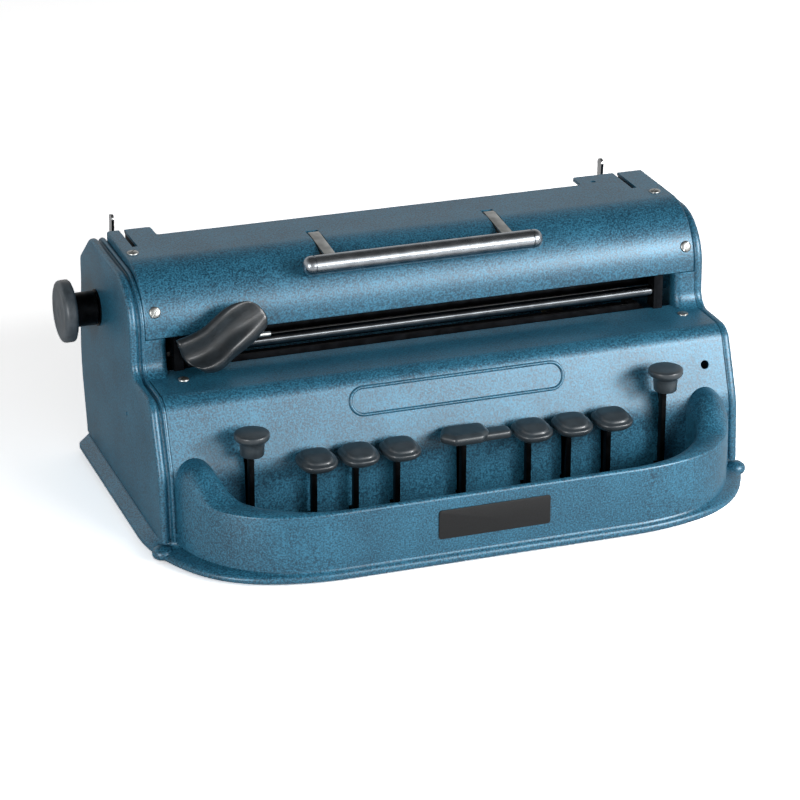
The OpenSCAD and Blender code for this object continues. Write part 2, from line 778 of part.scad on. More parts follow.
// Carriage: a bearing round the front rail, a jaw under the paper and a bearing on the rear rail
module carriage_frame() {
    z1 = paper_z - 1.5;
    color(STEEL) translate([carriage_x, 0, 0]) difference() {
        union() {
            translate([-bearing_w / 2, slot_y - 6.5, rail_z - 5.3])
                cube([bearing_w, 17.5, pivot_z - rail_z + 8.2]);
            translate([-jaw_w / 2, rail_y + 5.5, shelf_h + 9.5]) cube([jaw_w, 41.5, z1 - shelf_h - 9.5]);
            translate([-jaw_w / 2, rear_rail_y - 6, rear_rail_z - 6]) cube([jaw_w, 12, 16]);
        }
        rod(-40, 40, rail_y, rail_z, front_rail_r + fit_gap);
        rod(-40, 40, rear_rail_y, rear_rail_z, rear_rail_r + fit_gap);
        // Guide holes of the embossing pins
        for (k = [0:5]) translate([pin_x(k), pin_y(k), shelf_h]) cylinder(h = 40, r = 0.6 + slide_gap);
        translate([-dot_pitch / 2 - 1.2, cell_y - 11, shelf_h]) cube([dot_pitch + 2.4, 22, 15]);
        // Bore of the head lever's pin
        rod(-40, 40, pivot_y, pivot_z, 1.5 + fit_gap);
    }
}

function pin_x(k) = (k < 3 ? -1 : 1) * dot_pitch / 2;
function pin_y(k) = cell_y + (1 - k % 3) * dot_pitch;

// Upper jaw with the die, joined to the frame in front of the paper
module embossing_head() {
    z0 = paper_z + 1.5;
    color(CHROME) translate([carriage_x, 0, 0]) difference() {
        union() {
            translate([-bearing_w / 2, rail_y + 1, pivot_z + 2.9])
                cube([bearing_w, 4.5, z0 - pivot_z - 2.4]);
            along_x(-jaw_w / 2, jaw_w / 2) shape([[rail_y + 1, z0, 1], [rail_y + 31, z0, 1],
                [rail_y + 31, z0 + 7, 2], [rail_y + 22, z0 + 12, 3], [rail_y + 5, z0 + 12, 4],
                [rail_y + 1, z0 + 7, 2]]);
        }
        for (k = [0:5]) translate([pin_x(k), pin_y(k), z0 - 1]) cylinder(h = 2, r = 0.8);
    }
}

// Six cranked pins: a foot over each bar, and a tip in its place in the cell
module embossing_pins() {
    pin_r = 0.6;
    color(STEEL) translate([carriage_x, 0, 0]) for (k = [0:5]) {
        row = k < 3 ? k : 5 - k;
        arm = shelf_h + 5.5 - row * 2.6 + 0.6;
        tip_y = pin_y(k);
        foot_y = bar_y(k);
        foot_z = bar_top + 2.2;
        translate([pin_x(k), tip_y, arm]) cylinder(h = paper_z - 1.2 - arm, r = pin_r);
        translate([pin_x(k) - pin_r, min(tip_y, foot_y) - pin_r, arm])
            cube([2 * pin_r, abs(tip_y - foot_y) + 2 * pin_r, 1.4]);
        translate([pin_x(k) - pin_r, foot_y - pin_r, foot_z]) cube([2 * pin_r, 2 * pin_r, arm - foot_z + 1]);
    }
}

// Finger lever that frees the carriage: a scooped saddle in front of the cover, on a pin in the frame
module head_lever() {
    side_x = bearing_w / 2 + 0.6;
    color(CAP) translate([carriage_x, 0, 0]) {
        difference() {
            hull() {
                for (p = [[-21, 5, 1, 3.5], [-8, 11, -7.5, 3.5], [5, 7, -8, 3.5], [32, 1.7, 4.5, 4],
                        [28, 1.2, 15, 4], [19, 1.4, 16.5, 4]])
                    translate([p[0], pivot_y - p[1], pivot_z + p[2]]) sphere(p[3], $fn = 24);
            }
            hull() {
                translate([-16, pivot_y - 20, pivot_z + 5]) sphere(11, $fn = 32);
                translate([26, pivot_y - 13, pivot_z + 22]) sphere(10, $fn = 32);
            }
            // Room for the carriage's bearing and the cover's face
            translate([-side_x, pivot_y - 4.5, pivot_z - 20]) cube([2 * side_x, 20, 26]);
            translate([-60, slot_y - 1.2, pivot_z - 30]) cube([120, 20, 60]);
        }
        for (s = [-1, 1]) along_x(s * (side_x + 2) - 2, s * (side_x + 2) + 2) {
            translate([pivot_y, pivot_z]) circle(3);
            translate([pivot_y - 6, pivot_z - 2.5]) square([6, 5]);
        }
        rod(-side_x - 3, 37.5, pivot_y, pivot_z, 1.5);
    }
}

// ---- Paper feed ----

module paper_roller() {
    color(BLACK) {
        rod(-drum_l / 2, drum_l / 2, drum_y, drum_z, drum_r);
        rod(-(knob_x - 4), knob_x - 4, drum_y, drum_z, drum_shaft_r);
    }
}

// Wheel that the line key's pawl turns, one tooth for a line
module ratchet_wheel() {
    teeth = 24;
    r1 = drum_r - 3;
    color(STEEL) difference() {
        along_x(-pawl_x - 1.5, -pawl_x + 1.5) translate([drum_y, drum_z]) polygon([
            for (k = [0:teeth - 1]) each [
                r1 * [cos(360 * k / teeth), sin(360 * k / teeth)],
                (r1 - 2) * [cos(360 * (k + 0.15) / teeth), sin(360 * (k + 0.15) / teeth)]]]);
        rod(-pawl_x - 4, -pawl_x + 4, drum_y, drum_z, drum_shaft_r);
    }
}

// One knob, on the +X side: a wide rim on a hub
module knob() {
    hub_x = half_w + 1.3;
    color(CAP) translate([0, drum_y, drum_z]) rotate([0, 90, 0]) difference() {
        rotate_extrude($fn = 64) polygon([[0, hub_x], [hub_r, hub_x], [hub_r, knob_x - knob_t],
            [knob_r - 1, knob_x - knob_t], [knob_r, knob_x - knob_t + 1], [knob_r, knob_x - 1.5],
            [knob_r - 1.5, knob_x], [0, knob_x]]);
        translate([0, 0, hub_x - 1]) cylinder(h = knob_x - 4 - hub_x + 1, r = drum_shaft_r);
    }
}

module knob_left() {
    mirror([1, 0, 0]) knob();
}

module knob_right() {
    knob();
}

// Shaft under the roller, with fingers that hold the paper against it
module pressure_shaft() {
    reach = norm([drum_y - release_y, drum_z - release_z]) - drum_r - touch_gap;
    tilt = atan2(drum_y - release_y, drum_z - release_z);
    color(STEEL) {
        rod(-inner_x + 1, inner_x - 1, release_y, release_z, release_shaft_r);
        for (s = [-1, 1], in = [30, 95]) translate([s * (drum_l / 2 - in), release_y, release_z])
            rotate([-tilt, 0, 0]) translate([-8, -2, 0]) cube([16, 4, reach]);
    }
}

// The two levers that turn the pressure shaft: each bows round the roller's shaft to its tip
// behind the cover, and swings forward into a slit
module release_levers() {
    y1 = release_y + release_back;
    color(CHROME) for (x = release_xs) difference() {
        along_x(x - release_t / 2, x + release_t / 2) {
            translate([release_y, release_z]) circle(6);
            polygon([[release_y - 2, release_z - 5], [release_y + 8, release_z - 3],
                [y1 - 5, release_z + 11], [y1 + 3, release_z + 29], [y1 + 3.5, release_z + 45],
                [y1 + 3, release_h - 2.5], [y1 - 3, release_h - 2.5], [y1 - 1.5, release_z + 45],
                [y1 - 3, release_z + 31], [y1 - 9.5, release_z + 15], [release_y + 2, release_z + 5]]);
            translate([y1, release_h - 3]) circle(3);
        }
        rod(x - 5, x + 5, release_y, release_z, release_shaft_r);
    }
}

pawl_x = half_w - 25.5;
pawl_y = drum_y - drum_r + 3 - touch_gap;

// Bar pushed up by the line lever's tail, beside the ratchet wheel
module line_pawl() {
    foot_y = key_shaft_y + long_tail - 4;
    z0 = tail_top + touch_gap;
    color(STEEL) {
        translate([-side_key - 3, foot_y, z0]) mirror([1, 0, 0]) translate([-6, 0, 0])
            cube([pawl_x - side_key + 4.5, 4, 5]);
        along_x(-pawl_x - 1.5, -pawl_x + 1.5) polygon([[foot_y, z0], [pawl_y, z0], [pawl_y, drum_z - 1],
            [pawl_y - 3, drum_z + 3], [pawl_y - 6, drum_z + 3], [pawl_y - 6, z0 + 8], [foot_y, z0 + 8]]);
    }
}

// ---- Carriage return spring, margins, handle ----

spring_x = half_w - 40;
spring_y = rear_y - 47;

module mainspring_drum() {
    color(BRASS) translate([spring_x, spring_y, floor_z + 25]) difference() {
        union() {
            cylinder(h = 14, r = 20);
            cylinder(h = 1, r = 22);
            translate([0, 0, 13]) cylinder(h = 1, r = 22);
        }
        translate([0, 0, -1]) cylinder(h = 16, r = 4 + fit_gap);
    }
}

// A block on the margin rail with a thumb tab through the back panel's slot
module margin_stop(x) {
    color(STEEL) difference() {
        union() {
            translate([x - 7, margin_y - 6, margin_z - 6]) cube([14, 11, 13]);
            translate([x - 5, margin_y + 4, margin_z]) cube([10, rear_y - 0.4 - margin_y - 4, 4]);
        }
        rod(x - 10, x + 10, margin_y, margin_z, 3 + fit_gap);
    }
}

// Grip with rounded ends, and the two straps it hangs on
module carry_handle() {
    color(CHROME) {
        difference() {
            translate([0, grip_y, grip_z]) rotate([0, 90, 0]) rotate_extrude()
                shape([[0, -grip_l / 2, 0], [grip_r, -grip_l / 2, 0.9 * grip_r],
                    [grip_r, grip_l / 2, 0.9 * grip_r], [0, grip_l / 2, 0]]);
            translate([-grip_l / 2 + 6, grip_y - 2, grip_z - grip_r - 1]) cube([grip_l - 12, 4.5, 4]);
        }
        for (s = [-1, 1]) {
            along_x(s * strap_x - strap_w / 2, s * strap_x + strap_w / 2) {
                    polygon([[grip_y + 1.5, grip_z + 0.7], [strap_y - 3, cover_h - 1.2],
                        [strap_y - 3, strap_z], [strap_y + 2.5, strap_z], [strap_y + 2, cover_h - 0.5],
                        [strap_y, cover_h + 0.6], [grip_y + 1.5, grip_z + 2.2]]);
                    translate([strap_y, strap_z]) circle(3.6);
            }
            rod(s * strap_x - strap_w / 2 - 3, s * strap_x + strap_w / 2 + 3, strap_y, strap_z, 1.5);
        }
    }
}

// ---- Drawing ----

base_casting();
bottom_plate();
rubber_feet();
side_plate_left();
side_plate_right();
front_panel();
top_cover();
back_panel();
paper_table();
label_plate();
housing_screws();
key_shaft();
front_rail();
rear_rail();
rail_brackets();
escapement_rack();
inner_brackets();
roller_bushes();
bell();
margin_rail();
key_springs();
for (k = [0:5]) {
    lever(dot_x[k], dot_cap_z, short_tail);
    dot_cap(dot_x[k]);
    emboss_bar(k);
}
lever(keys_mid, space_cap_z, short_tail);  // space_lever
space_bar();
lever(-side_key, line_cap_z, long_tail);  // line_lever
round_cap(-side_key, line_cap_z);  // line_key
lever(side_key, back_cap_z, long_tail);  // backspace_lever
round_cap(side_key, back_cap_z);  // backspace_key
carriage_frame();
embossing_head();
embossing_pins();
head_lever();
paper_roller();
ratchet_wheel();
knob_left();
knob_right();
pressure_shaft();
release_levers();
margin_stop(-margin_stop_x);  // margin_stop_left
margin_stop(margin_stop_x);  // margin_stop_right
carry_handle();
mainspring_drum();
line_pawl();
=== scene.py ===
# %% [markdown]
# # A manual braille writer
#
# The frame that this file loads holds the machine's construction: every lever, rail and shell at its
# real size, and the joints between them. This file gives the machine its looks. It makes the cast and
# pressed shells with their soft edges, the moulded key caps, the screws and springs, and the finishes:
# hammered enamel, chrome, plated steel, moulded plastic.
#
# Lengths are written in millimetres and turned to metres by one constant, because Blender and the
# frame both use metres.

# %% Load the frame
import json
import math

import bmesh
import bpy
from mathutils import Matrix, Vector

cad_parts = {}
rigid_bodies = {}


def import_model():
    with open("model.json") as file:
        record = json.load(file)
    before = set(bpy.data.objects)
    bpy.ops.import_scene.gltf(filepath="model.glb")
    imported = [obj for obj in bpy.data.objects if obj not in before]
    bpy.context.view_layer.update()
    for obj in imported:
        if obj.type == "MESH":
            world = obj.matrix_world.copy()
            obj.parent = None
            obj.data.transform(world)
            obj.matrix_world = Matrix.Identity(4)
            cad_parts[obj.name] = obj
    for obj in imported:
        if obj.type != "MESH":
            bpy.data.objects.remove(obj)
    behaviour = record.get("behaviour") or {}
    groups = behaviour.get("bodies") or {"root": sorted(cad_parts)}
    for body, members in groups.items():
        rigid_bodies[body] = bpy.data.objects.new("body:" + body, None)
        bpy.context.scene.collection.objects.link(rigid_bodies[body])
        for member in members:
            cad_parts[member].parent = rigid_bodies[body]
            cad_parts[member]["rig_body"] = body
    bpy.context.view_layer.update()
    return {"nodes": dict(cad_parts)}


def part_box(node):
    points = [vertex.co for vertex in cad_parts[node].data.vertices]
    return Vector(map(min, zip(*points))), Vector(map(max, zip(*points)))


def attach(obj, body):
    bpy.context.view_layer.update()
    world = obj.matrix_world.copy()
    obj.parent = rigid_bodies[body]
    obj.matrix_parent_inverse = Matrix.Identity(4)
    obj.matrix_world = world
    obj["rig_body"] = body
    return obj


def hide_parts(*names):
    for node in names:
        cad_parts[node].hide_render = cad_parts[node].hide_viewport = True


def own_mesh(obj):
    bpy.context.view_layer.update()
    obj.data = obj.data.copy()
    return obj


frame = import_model()
MM = 0.001

# %% [markdown]
# ## Camera
#
# The machine was photographed from its front left with a long lens, a little from above. A long lens
# keeps the far side almost as large as the near one. The camera stands where the straight edges of
# the housing say it stood, and a small shift of the lens frames the machine as the photograph does.

# %% Camera
camera_place = Vector((-596.0, -1630.4, 787.2)) * MM
camera_ahead = Vector((0.31649, 0.87626, -0.36333))
camera_roll = math.radians(0.239)
focal_length = 145.92
lens = bpy.data.cameras.new("camera")
lens.lens = focal_length
lens.sensor_width = 36.0
lens.shift_x = -0.01616
lens.shift_y = -0.12043
camera = bpy.data.objects.new("camera", lens)
turn = camera_ahead.to_track_quat("-Z", "Y").to_matrix().to_4x4()
camera.matrix_world = Matrix.Translation(camera_place) @ turn @ Matrix.Rotation(camera_roll, 4, "Z")
bpy.context.scene.collection.objects.link(camera)
bpy.context.scene.camera = camera
print("lens:", focal_length, "mm")

# %% [markdown]
# ## Helpers for materials
#
# Colours are written as sRGB hex values, the way a colour picker shows them, and Blender calculates
# in linear light, so one function translates. A second one adds a shader node, with its settings and
# what goes into its sockets, which keeps each material readable from top to bottom.

# %% Material helpers
def linear(hex_colour):
    """The linear colour of an sRGB hex value."""
    parts = [int(hex_colour[i:i + 2], 16) / 255 for i in (1, 3, 5)]
    return tuple(p / 12.92 if p <= 0.04045 else ((p + 0.055) / 1.055) ** 2.4 for p in parts) + (1.0,)


def add(tree, kind, inputs=None, **settings):
    """Adds a node with its settings. An input is a value, or the output socket that feeds it."""
    made = tree.nodes.new(kind)
    for name, value in settings.items():
        setattr(made, name, value)
    for name, value in (inputs or {}).items():
        if isinstance(value, bpy.types.NodeSocket):
            tree.links.new(value, made.inputs[name])
        else:
            made.inputs[name].default_value = value
    return made


def start_material(name, **sockets):
    """A material with its Principled shader set, and the piece's own coordinates in metres."""
    material = bpy.data.materials.new(name)
    material.use_nodes = True
    tree = material.node_tree
    shader = tree.nodes["Principled BSDF"]
    for socket, value in sockets.items():
        shader.inputs[socket.replace("_", " ")].default_value = value
    place = add(tree, "ShaderNodeTexCoord").outputs["Object"]
    return material, tree, shader, place


def two_tones(tree, factor, dark, light, low=0.35, high=0.65):
    """A colour that runs from dark to light as the factor runs from low to high."""
    ramp = add(tree, "ShaderNodeValToRGB", {"Fac": factor})
    ramp.color_ramp.elements[0].position = low
    ramp.color_ramp.elements[0].color = linear(dark)
    ramp.color_ramp.elements[1].position = high
    ramp.color_ramp.elements[1].color = linear(light)
    return ramp.outputs["Color"]


def between(tree, value, low, high):
    """Maps a value from 0..1 to low..high."""
    made = add(tree, "ShaderNodeMapRange", {"Value": value, "To Min": low, "To Max": high})
    return made.outputs["Result"]

# %% [markdown]
# ## Hammered enamel
#
# The housing is sprayed with hammer-finish stove enamel. It carries aluminium flake, and silicone in
# the paint pulls the wet film into small dimples, so the dry skin looks beaten. The eye reads three
# things: a speckle of light and dark teal where the flakes turn, a gloss that breaks up over the
# dimples, and a clear edge of light on every rounded bead. A Voronoi pattern at the dimples' spacing
# makes the relief, and two noises make the flake and the slow drift in tone. The flake of the real
# paint is finer than a pixel here, so it is drawn about five times as coarse.

# %% Hammered enamel
DIMPLE = 1.2 * MM
FLAKE = 0.95 * MM
DRIFT = 26 * MM


def hammered_enamel(name, dark, light):
    """Paint with flake and a slow drift in its tone, over two reliefs: dimples and flake."""
    material, tree, shader, place = start_material(name, Metallic=0.19, IOR=1.5,
                                                   Specular_IOR_Level=0.85)
    dimples = add(tree, "ShaderNodeTexVoronoi", {"Vector": place, "Scale": 1 / DIMPLE,
                                                 "Smoothness": 0.8}, feature="SMOOTH_F1")
    flake = add(tree, "ShaderNodeTexNoise", {"Vector": place, "Scale": 1 / FLAKE, "Detail": 1.5})
    drift = add(tree, "ShaderNodeTexNoise", {"Vector": place, "Scale": 1 / DRIFT, "Detail": 3.0})
    tone = add(tree, "ShaderNodeMix", {"Factor": 0.22, "A": flake.outputs["Fac"],
                                       "B": drift.outputs["Fac"]})
    colour = two_tones(tree, tone.outputs["Result"], dark, light, 0.38, 0.64)
    tree.links.new(colour, shader.inputs["Base Color"])
    rough = between(tree, flake.outputs["Fac"], 0.3, 0.5)
    tree.links.new(rough, shader.inputs["Roughness"])
    beaten = add(tree, "ShaderNodeBump", {"Height": dimples.outputs["Distance"], "Distance": 0.06 * MM,
                                          "Strength": 0.6})
    relief = add(tree, "ShaderNodeBump", {"Height": flake.outputs["Fac"], "Distance": 0.05 * MM,
                                          "Strength": 0.6, "Normal": beaten.outputs["Normal"]})
    tree.links.new(relief.outputs["Normal"], shader.inputs["Normal"])
    return material


enamel = hammered_enamel("hammer_finish_stove_enamel", "#0a3b50", "#2f7390")
print("enamel dimples every", DIMPLE / MM, "mm")

# %% [markdown]
# ## Metals
#
# Chrome plate, on the release levers and the embossing head, is almost a mirror: nearly white, with
# faint polishing lines. On the grip the plate lies on a satin ground, which spreads its highlight into
# a soft band. The front rail is a ground steel bar with a thin line of light; its colour is painted
# dark, as a stand-in for the dark inside of the machine that it reflects. Zinc-plated steel, on the
# straps, screws and plain inner parts, is duller, with a soft cloudy tone. The key levers are
# chemically blackened steel, a thin dark oxide that keeps a low sheen. The inner frame is phosphated,
# which is darker and more matt, and its near-black colour is also painted shade for the parts inside
# the housing. A metal keeps the shader's default index of refraction.

# %% Metals
POLISH_LINE = 0.35 * MM
CLOUD = 7 * MM


def plated_metal(name, dark, light, low_rough, high_rough, along):
    """Polishing lines are noise that is stretched along one axis."""
    material, tree, shader, place = start_material(name, Metallic=1.0)
    squeeze = [1.0 / POLISH_LINE] * 3
    squeeze["XYZ".index(along)] = 1.0 / (40 * POLISH_LINE)
    lines = add(tree, "ShaderNodeMapping", {"Vector": place, "Scale": squeeze})
    polish = add(tree, "ShaderNodeTexNoise", {"Vector": lines.outputs["Vector"], "Scale": 1.0,
                                              "Detail": 2.0})
    cloud = add(tree, "ShaderNodeTexNoise", {"Vector": place, "Scale": 1 / CLOUD, "Detail": 3.0})
    tree.links.new(two_tones(tree, cloud.outputs["Fac"], dark, light), shader.inputs["Base Color"])
    rough = between(tree, polish.outputs["Fac"], low_rough, high_rough)
    tree.links.new(rough, shader.inputs["Roughness"])
    relief = add(tree, "ShaderNodeBump", {"Height": polish.outputs["Fac"], "Distance": 0.003 * MM,
                                          "Strength": 0.25})
    tree.links.new(relief.outputs["Normal"], shader.inputs["Normal"])
    return material


chrome = plated_metal("chrome_plate", "#cdcfd1", "#e6e7e8", 0.12, 0.19, "X")
zinc = plated_metal("zinc_plated_steel", "#8f918f", "#b4b6b4", 0.3, 0.46, "Y")
spring_steel = plated_metal("spring_steel", "#6f7172", "#8d8f90", 0.25, 0.4, "Z")
brass = plated_metal("turned_brass", "#a98a4a", "#cbb070", 0.22, 0.36, "Z")
blackened = plated_metal("blackened_steel", "#0c0d0e", "#1b1c1e", 0.35, 0.5, "Z")
# Phosphated steel for the inner frame; its near-black colour is also painted shade for the parts inside
# the housing.
phosphate_and_inner_shade = plated_metal("dark_phosphated_steel_and_inner_shade", "#141517", "#212326", 0.45, 0.62, "X")
dull_steel = plated_metal("dull_bright_steel", "#44474a", "#595d60", 0.4, 0.52, "X")
# The rail steel's colour is painted dark, as a stand-in for the dark inside of the machine that it
# reflects.
dark_reflection_steel = plated_metal("ground_steel_bar_dark_reflection", "#4a4d50", "#5c5f62", 0.13, 0.19, "X")
satin_chrome = plated_metal("satin_chrome_plate", "#8d9297", "#a6abb0", 0.24, 0.31, "X")
print("metals: polishing lines every", POLISH_LINE / MM, "mm")

# %% [markdown]
# ## Moulded plastic
#
# The key caps, the carriage's finger lever and the knobs are compression-moulded phenolic resin: hard
# and dark grey, with a tone that drifts a little because the powder never mixes fully. Fingers have
# dulled its gloss to a satin skin, so the highlights are soft. That comes from a middling, slightly
# uneven roughness with a thin, sharper coat over it. The finger lever's resin is nearly black, and
# the knobs' is paler.

# %% Moulded plastic
SWIRL = 5 * MM
ORANGE_PEEL = 0.9 * MM


def moulded_resin(name, dark, light, low_rough, high_rough, coat):
    """Swirled tones and an uneven gloss, over a faint orange peel."""
    material, tree, shader, place = start_material(name, IOR=1.55, Coat_Weight=coat,
                                                   Coat_Roughness=0.12)
    swirl = add(tree, "ShaderNodeTexNoise", {"Vector": place, "Scale": 1 / SWIRL, "Detail": 3.0,
                                             "Distortion": 0.3})
    peel = add(tree, "ShaderNodeTexNoise", {"Vector": place, "Scale": 1 / ORANGE_PEEL, "Detail": 1.0})
    tree.links.new(two_tones(tree, swirl.outputs["Fac"], dark, light), shader.inputs["Base Color"])
    rough = between(tree, swirl.outputs["Fac"], low_rough, high_rough)
    tree.links.new(rough, shader.inputs["Roughness"])
    relief = add(tree, "ShaderNodeBump", {"Height": peel.outputs["Fac"], "Distance": 0.008 * MM,
                                          "Strength": 0.5})
    tree.links.new(relief.outputs["Normal"], shader.inputs["Normal"])
    return material


cap_resin = moulded_resin("phenolic_resin_dark_grey", "#2a3136", "#323a3f", 0.33, 0.39, 0.15)
lever_resin = moulded_resin("phenolic_resin_lever", "#171b1e", "#20262a", 0.3, 0.36, 0.15)
knob_resin = moulded_resin("phenolic_resin_knob_grey", "#3b4349", "#4d565d", 0.34, 0.5, 0.1)
print("resins: swirls every", SWIRL / MM, "mm")

# %% [markdown]
# ## Rubber and the anodised plate
#
# The feet and the roller's sleeve are ground black rubber, matt with a fine grain. The plate on the
# front wall is black anodised aluminium.

# %% Rubber and anodised plate
GRIT = 0.5 * MM


def fine_matt(name, dark, light, rough):
    """A matt skin with one fine grain in its tone and its relief."""
    material, tree, shader, place = start_material(name, Roughness=rough)
    grain = add(tree, "ShaderNodeTexNoise", {"Vector": place, "Scale": 1 / GRIT, "Detail": 2.0})
    tree.links.new(two_tones(tree, grain.outputs["Fac"], dark, light), shader.inputs["Base Color"])
    relief = add(tree, "ShaderNodeBump", {"Height": grain.outputs["Fac"], "Distance": 0.03 * MM,
                                          "Strength": 0.6})
    tree.links.new(relief.outputs["Normal"], shader.inputs["Normal"])
    return material


rubber = fine_matt("ground_black_rubber", "#141414", "#222222", 0.75)
anodised = fine_matt("black_anodised_aluminium", "#060607", "#101113", 0.42)
print("rubber and anodising: grain of", GRIT / MM, "mm")

# %% [markdown]
# ## Helpers for shapes
#
# An outline is a short list of corners, each with a place and a radius. One function moves the
# corners inwards, and one replaces each corner by its arc, always with the same number of points, so
# that two outlines made from the same corners can be joined point by point into a surface.

# %% Shape helpers
def unit(a, b):
    """The direction from one point to another in the plane."""
    length = math.hypot(b[0] - a[0], b[1] - a[1])
    return ((b[0] - a[0]) / length, (b[1] - a[1]) / length)


def inset(corners, depth):
    """The same corners moved inwards, with parallel arcs. Corners run counter-clockwise."""
    moved = []
    for i, (a, b, radius) in enumerate(corners):
        into = unit(corners[i - 1], (a, b))
        out = unit((a, b), corners[(i + 1) % len(corners)])
        share = depth / (1 + into[0] * out[0] + into[1] * out[1])
        bend = into[0] * out[1] - into[1] * out[0]
        new_radius = radius - depth if bend > 0 else radius + depth
        moved.append((a - (into[1] + out[1]) * share, b + (into[0] + out[0]) * share,
                      max(new_radius, 0.05) if radius > 0 else 0))
    return moved


def outline(corners, steps):
    """The outline's points: one for a sharp corner, steps + 1 along a rounded one."""
    points = []
    for i, (a, b, radius) in enumerate(corners):
        if radius == 0:
            points.append((a, b))
            continue
        into = unit(corners[i - 1], (a, b))
        out = unit((a, b), corners[(i + 1) % len(corners)])
        bend = into[0] * out[1] - into[1] * out[0]
        angle = math.acos(max(-1.0, min(1.0, into[0] * out[0] + into[1] * out[1])))
        side = 1 if bend > 0 else -1
        reach = radius * math.tan(angle / 2)
        start = (a - reach * into[0], b - reach * into[1])
        centre = (start[0] - side * radius * into[1], start[1] + side * radius * into[0])
        spoke = (start[0] - centre[0], start[1] - centre[1])
        for k in range(steps + 1):
            turn_by = side * angle * k / steps
            c, s = math.cos(turn_by), math.sin(turn_by)
            points.append((centre[0] + spoke[0] * c - spoke[1] * s,
                           centre[1] + spoke[0] * s + spoke[1] * c))
    return points


def arc(centre, radius, first, last, steps):
    """Points of an arc, between two angles in degrees."""
    angles = [math.radians(first + (last - first) * k / steps) for k in range(steps + 1)]
    return [(centre[0] + radius * math.cos(t), centre[1] + radius * math.sin(t)) for t in angles]


def skin(rings, around=True):
    """Faces between closed rings of points. around joins the last ring to the first."""
    count = len(rings[0])
    points = [p for ring in rings for p in ring]
    faces = []
    for i in range(len(rings) if around else len(rings) - 1):
        j = (i + 1) % len(rings)
        for k in range(count):
            m = (k + 1) % count
            faces.append((i * count + k, i * count + m, j * count + m, j * count + k))
    return points, faces


def capped(rings):
    """A loft along rings, closed at both ends."""
    points, faces = skin(rings, around=False)
    count = len(rings[0])
    return points, faces + [tuple(range(count)), tuple(range(len(points) - count, len(points)))]


def mesh_of(name, parts, merge=True, mirror=False):
    """One mesh from lists of (points in millimetres, faces), with its normals outwards."""
    mesh = bpy.data.meshes.new(name)
    build = bmesh.new()
    for points, faces in parts:
        verts = [build.verts.new(Vector(p) * MM) for p in points]
        for face in faces:
            build.faces.new([verts[i] for i in face])
    if merge:
        bmesh.ops.remove_doubles(build, verts=build.verts, dist=1e-6)
    if mirror:
        bmesh.ops.scale(build, vec=(-1, 1, 1), verts=build.verts)
    bmesh.ops.recalc_face_normals(build, faces=build.faces)
    build.to_mesh(mesh)
    build.free()
    return mesh


def piece_from(name, parts, material, body, replaces=(), smooth=32, mirror=False):
    """A finished piece from lists of points and faces, smooth up to an angle in degrees."""
    mesh = mesh_of(name, parts, mirror=mirror)
    return finish_piece(name, mesh, material, body, replaces, smooth)


def finish_piece(name, mesh, material, body, replaces=(), smooth=32):
    """Links a mesh as a piece of the machine: shaded, painted, and riding on its body."""
    mesh.polygons.foreach_set("use_smooth", [True] * len(mesh.polygons))
    mesh.set_sharp_from_angle(angle=math.radians(smooth))
    mesh.materials.clear()
    mesh.materials.append(material)
    made = bpy.data.objects.new(name, mesh)
    bpy.context.scene.collection.objects.link(made)
    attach(made, body)
    if replaces:
        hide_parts(*replaces)
    return made


def baked(holder):
    """The plain mesh that an object's modifiers make. The object itself goes."""
    bpy.context.scene.collection.objects.link(holder)
    done = bpy.data.meshes.new_from_object(
        holder.evaluated_get(bpy.context.evaluated_depsgraph_get()))
    holder.modifiers.clear()
    bpy.data.objects.remove(holder)
    return done


CORNER = math.radians(28)


def soften(mesh, radius):
    """Rounds the edges at which a mesh turns by more than CORNER. The radius is in millimetres."""
    build = bmesh.new()
    build.from_mesh(mesh)
    build.normal_update()
    layers = build.edges.layers.float
    weight = layers.get("bevel_weight_edge") or layers.new("bevel_weight_edge")
    for edge in build.edges:
        if len(edge.link_faces) == 2 and edge.calc_face_angle(0) > CORNER:
            edge[weight] = 1.0
    build.to_mesh(mesh)
    build.free()
    holder = bpy.data.objects.new("holder", mesh)
    bevel = holder.modifiers.new("round", "BEVEL")
    bevel.limit_method = "WEIGHT"
    bevel.width = radius * MM
    bevel.segments = 2
    bevel.use_clamp_overlap = True
    return baked(holder)


def dress(node, material, radius, reshape=None):
    """A copy of a CAD node, its loose triangles joined and its edges rounded, stands for the node.

    reshape is a function that may move a vertex of the copy.
    """
    mesh = frame["nodes"][node].data.copy()
    build = bmesh.new()
    build.from_mesh(mesh)
    bmesh.ops.remove_doubles(build, verts=build.verts, dist=2e-6)
    bmesh.ops.dissolve_limit(build, angle_limit=math.radians(0.4), verts=build.verts,
                             edges=build.edges)
    if reshape:
        for vertex in build.verts:
            reshape(vertex)
    build.to_mesh(mesh)
    build.free()
    body = frame["nodes"][node]["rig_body"]
    return finish_piece(node + "_dressed", soften(mesh, radius), material, body, (node,))


def size_of(node):
    """A CAD node's lowest and highest corners in millimetres."""
    low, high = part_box(node)
    return low / MM, high / MM


# %% [markdown]
# ## A recipe for Geometry Nodes
#
# What repeats or follows a path on the machine is made by Geometry Nodes: the nine coil springs, the
# screws, the feet and the raised oval. Each tree is built by hand here and takes its sizes through
# named inputs. The helpers below start a tree, end it in Realize Instances and Set Material, and turn
# the result into a plain mesh, because the rest of this script works on plain meshes.

# %% Geometry Nodes helpers
def recipe(name, sizes):
    """An empty tree with named inputs. Each size is (name, kind of socket)."""
    tree = bpy.data.node_groups.new(name, "GeometryNodeTree")
    tree.interface.new_socket("Geometry", in_out="INPUT", socket_type="NodeSocketGeometry")
    for label, kind in sizes + [("Finish", "Material")]:
        tree.interface.new_socket(label, in_out="INPUT", socket_type="NodeSocket" + kind)
    tree.interface.new_socket("Geometry", in_out="OUTPUT", socket_type="NodeSocketGeometry")
    return tree, add(tree, "NodeGroupInput").outputs


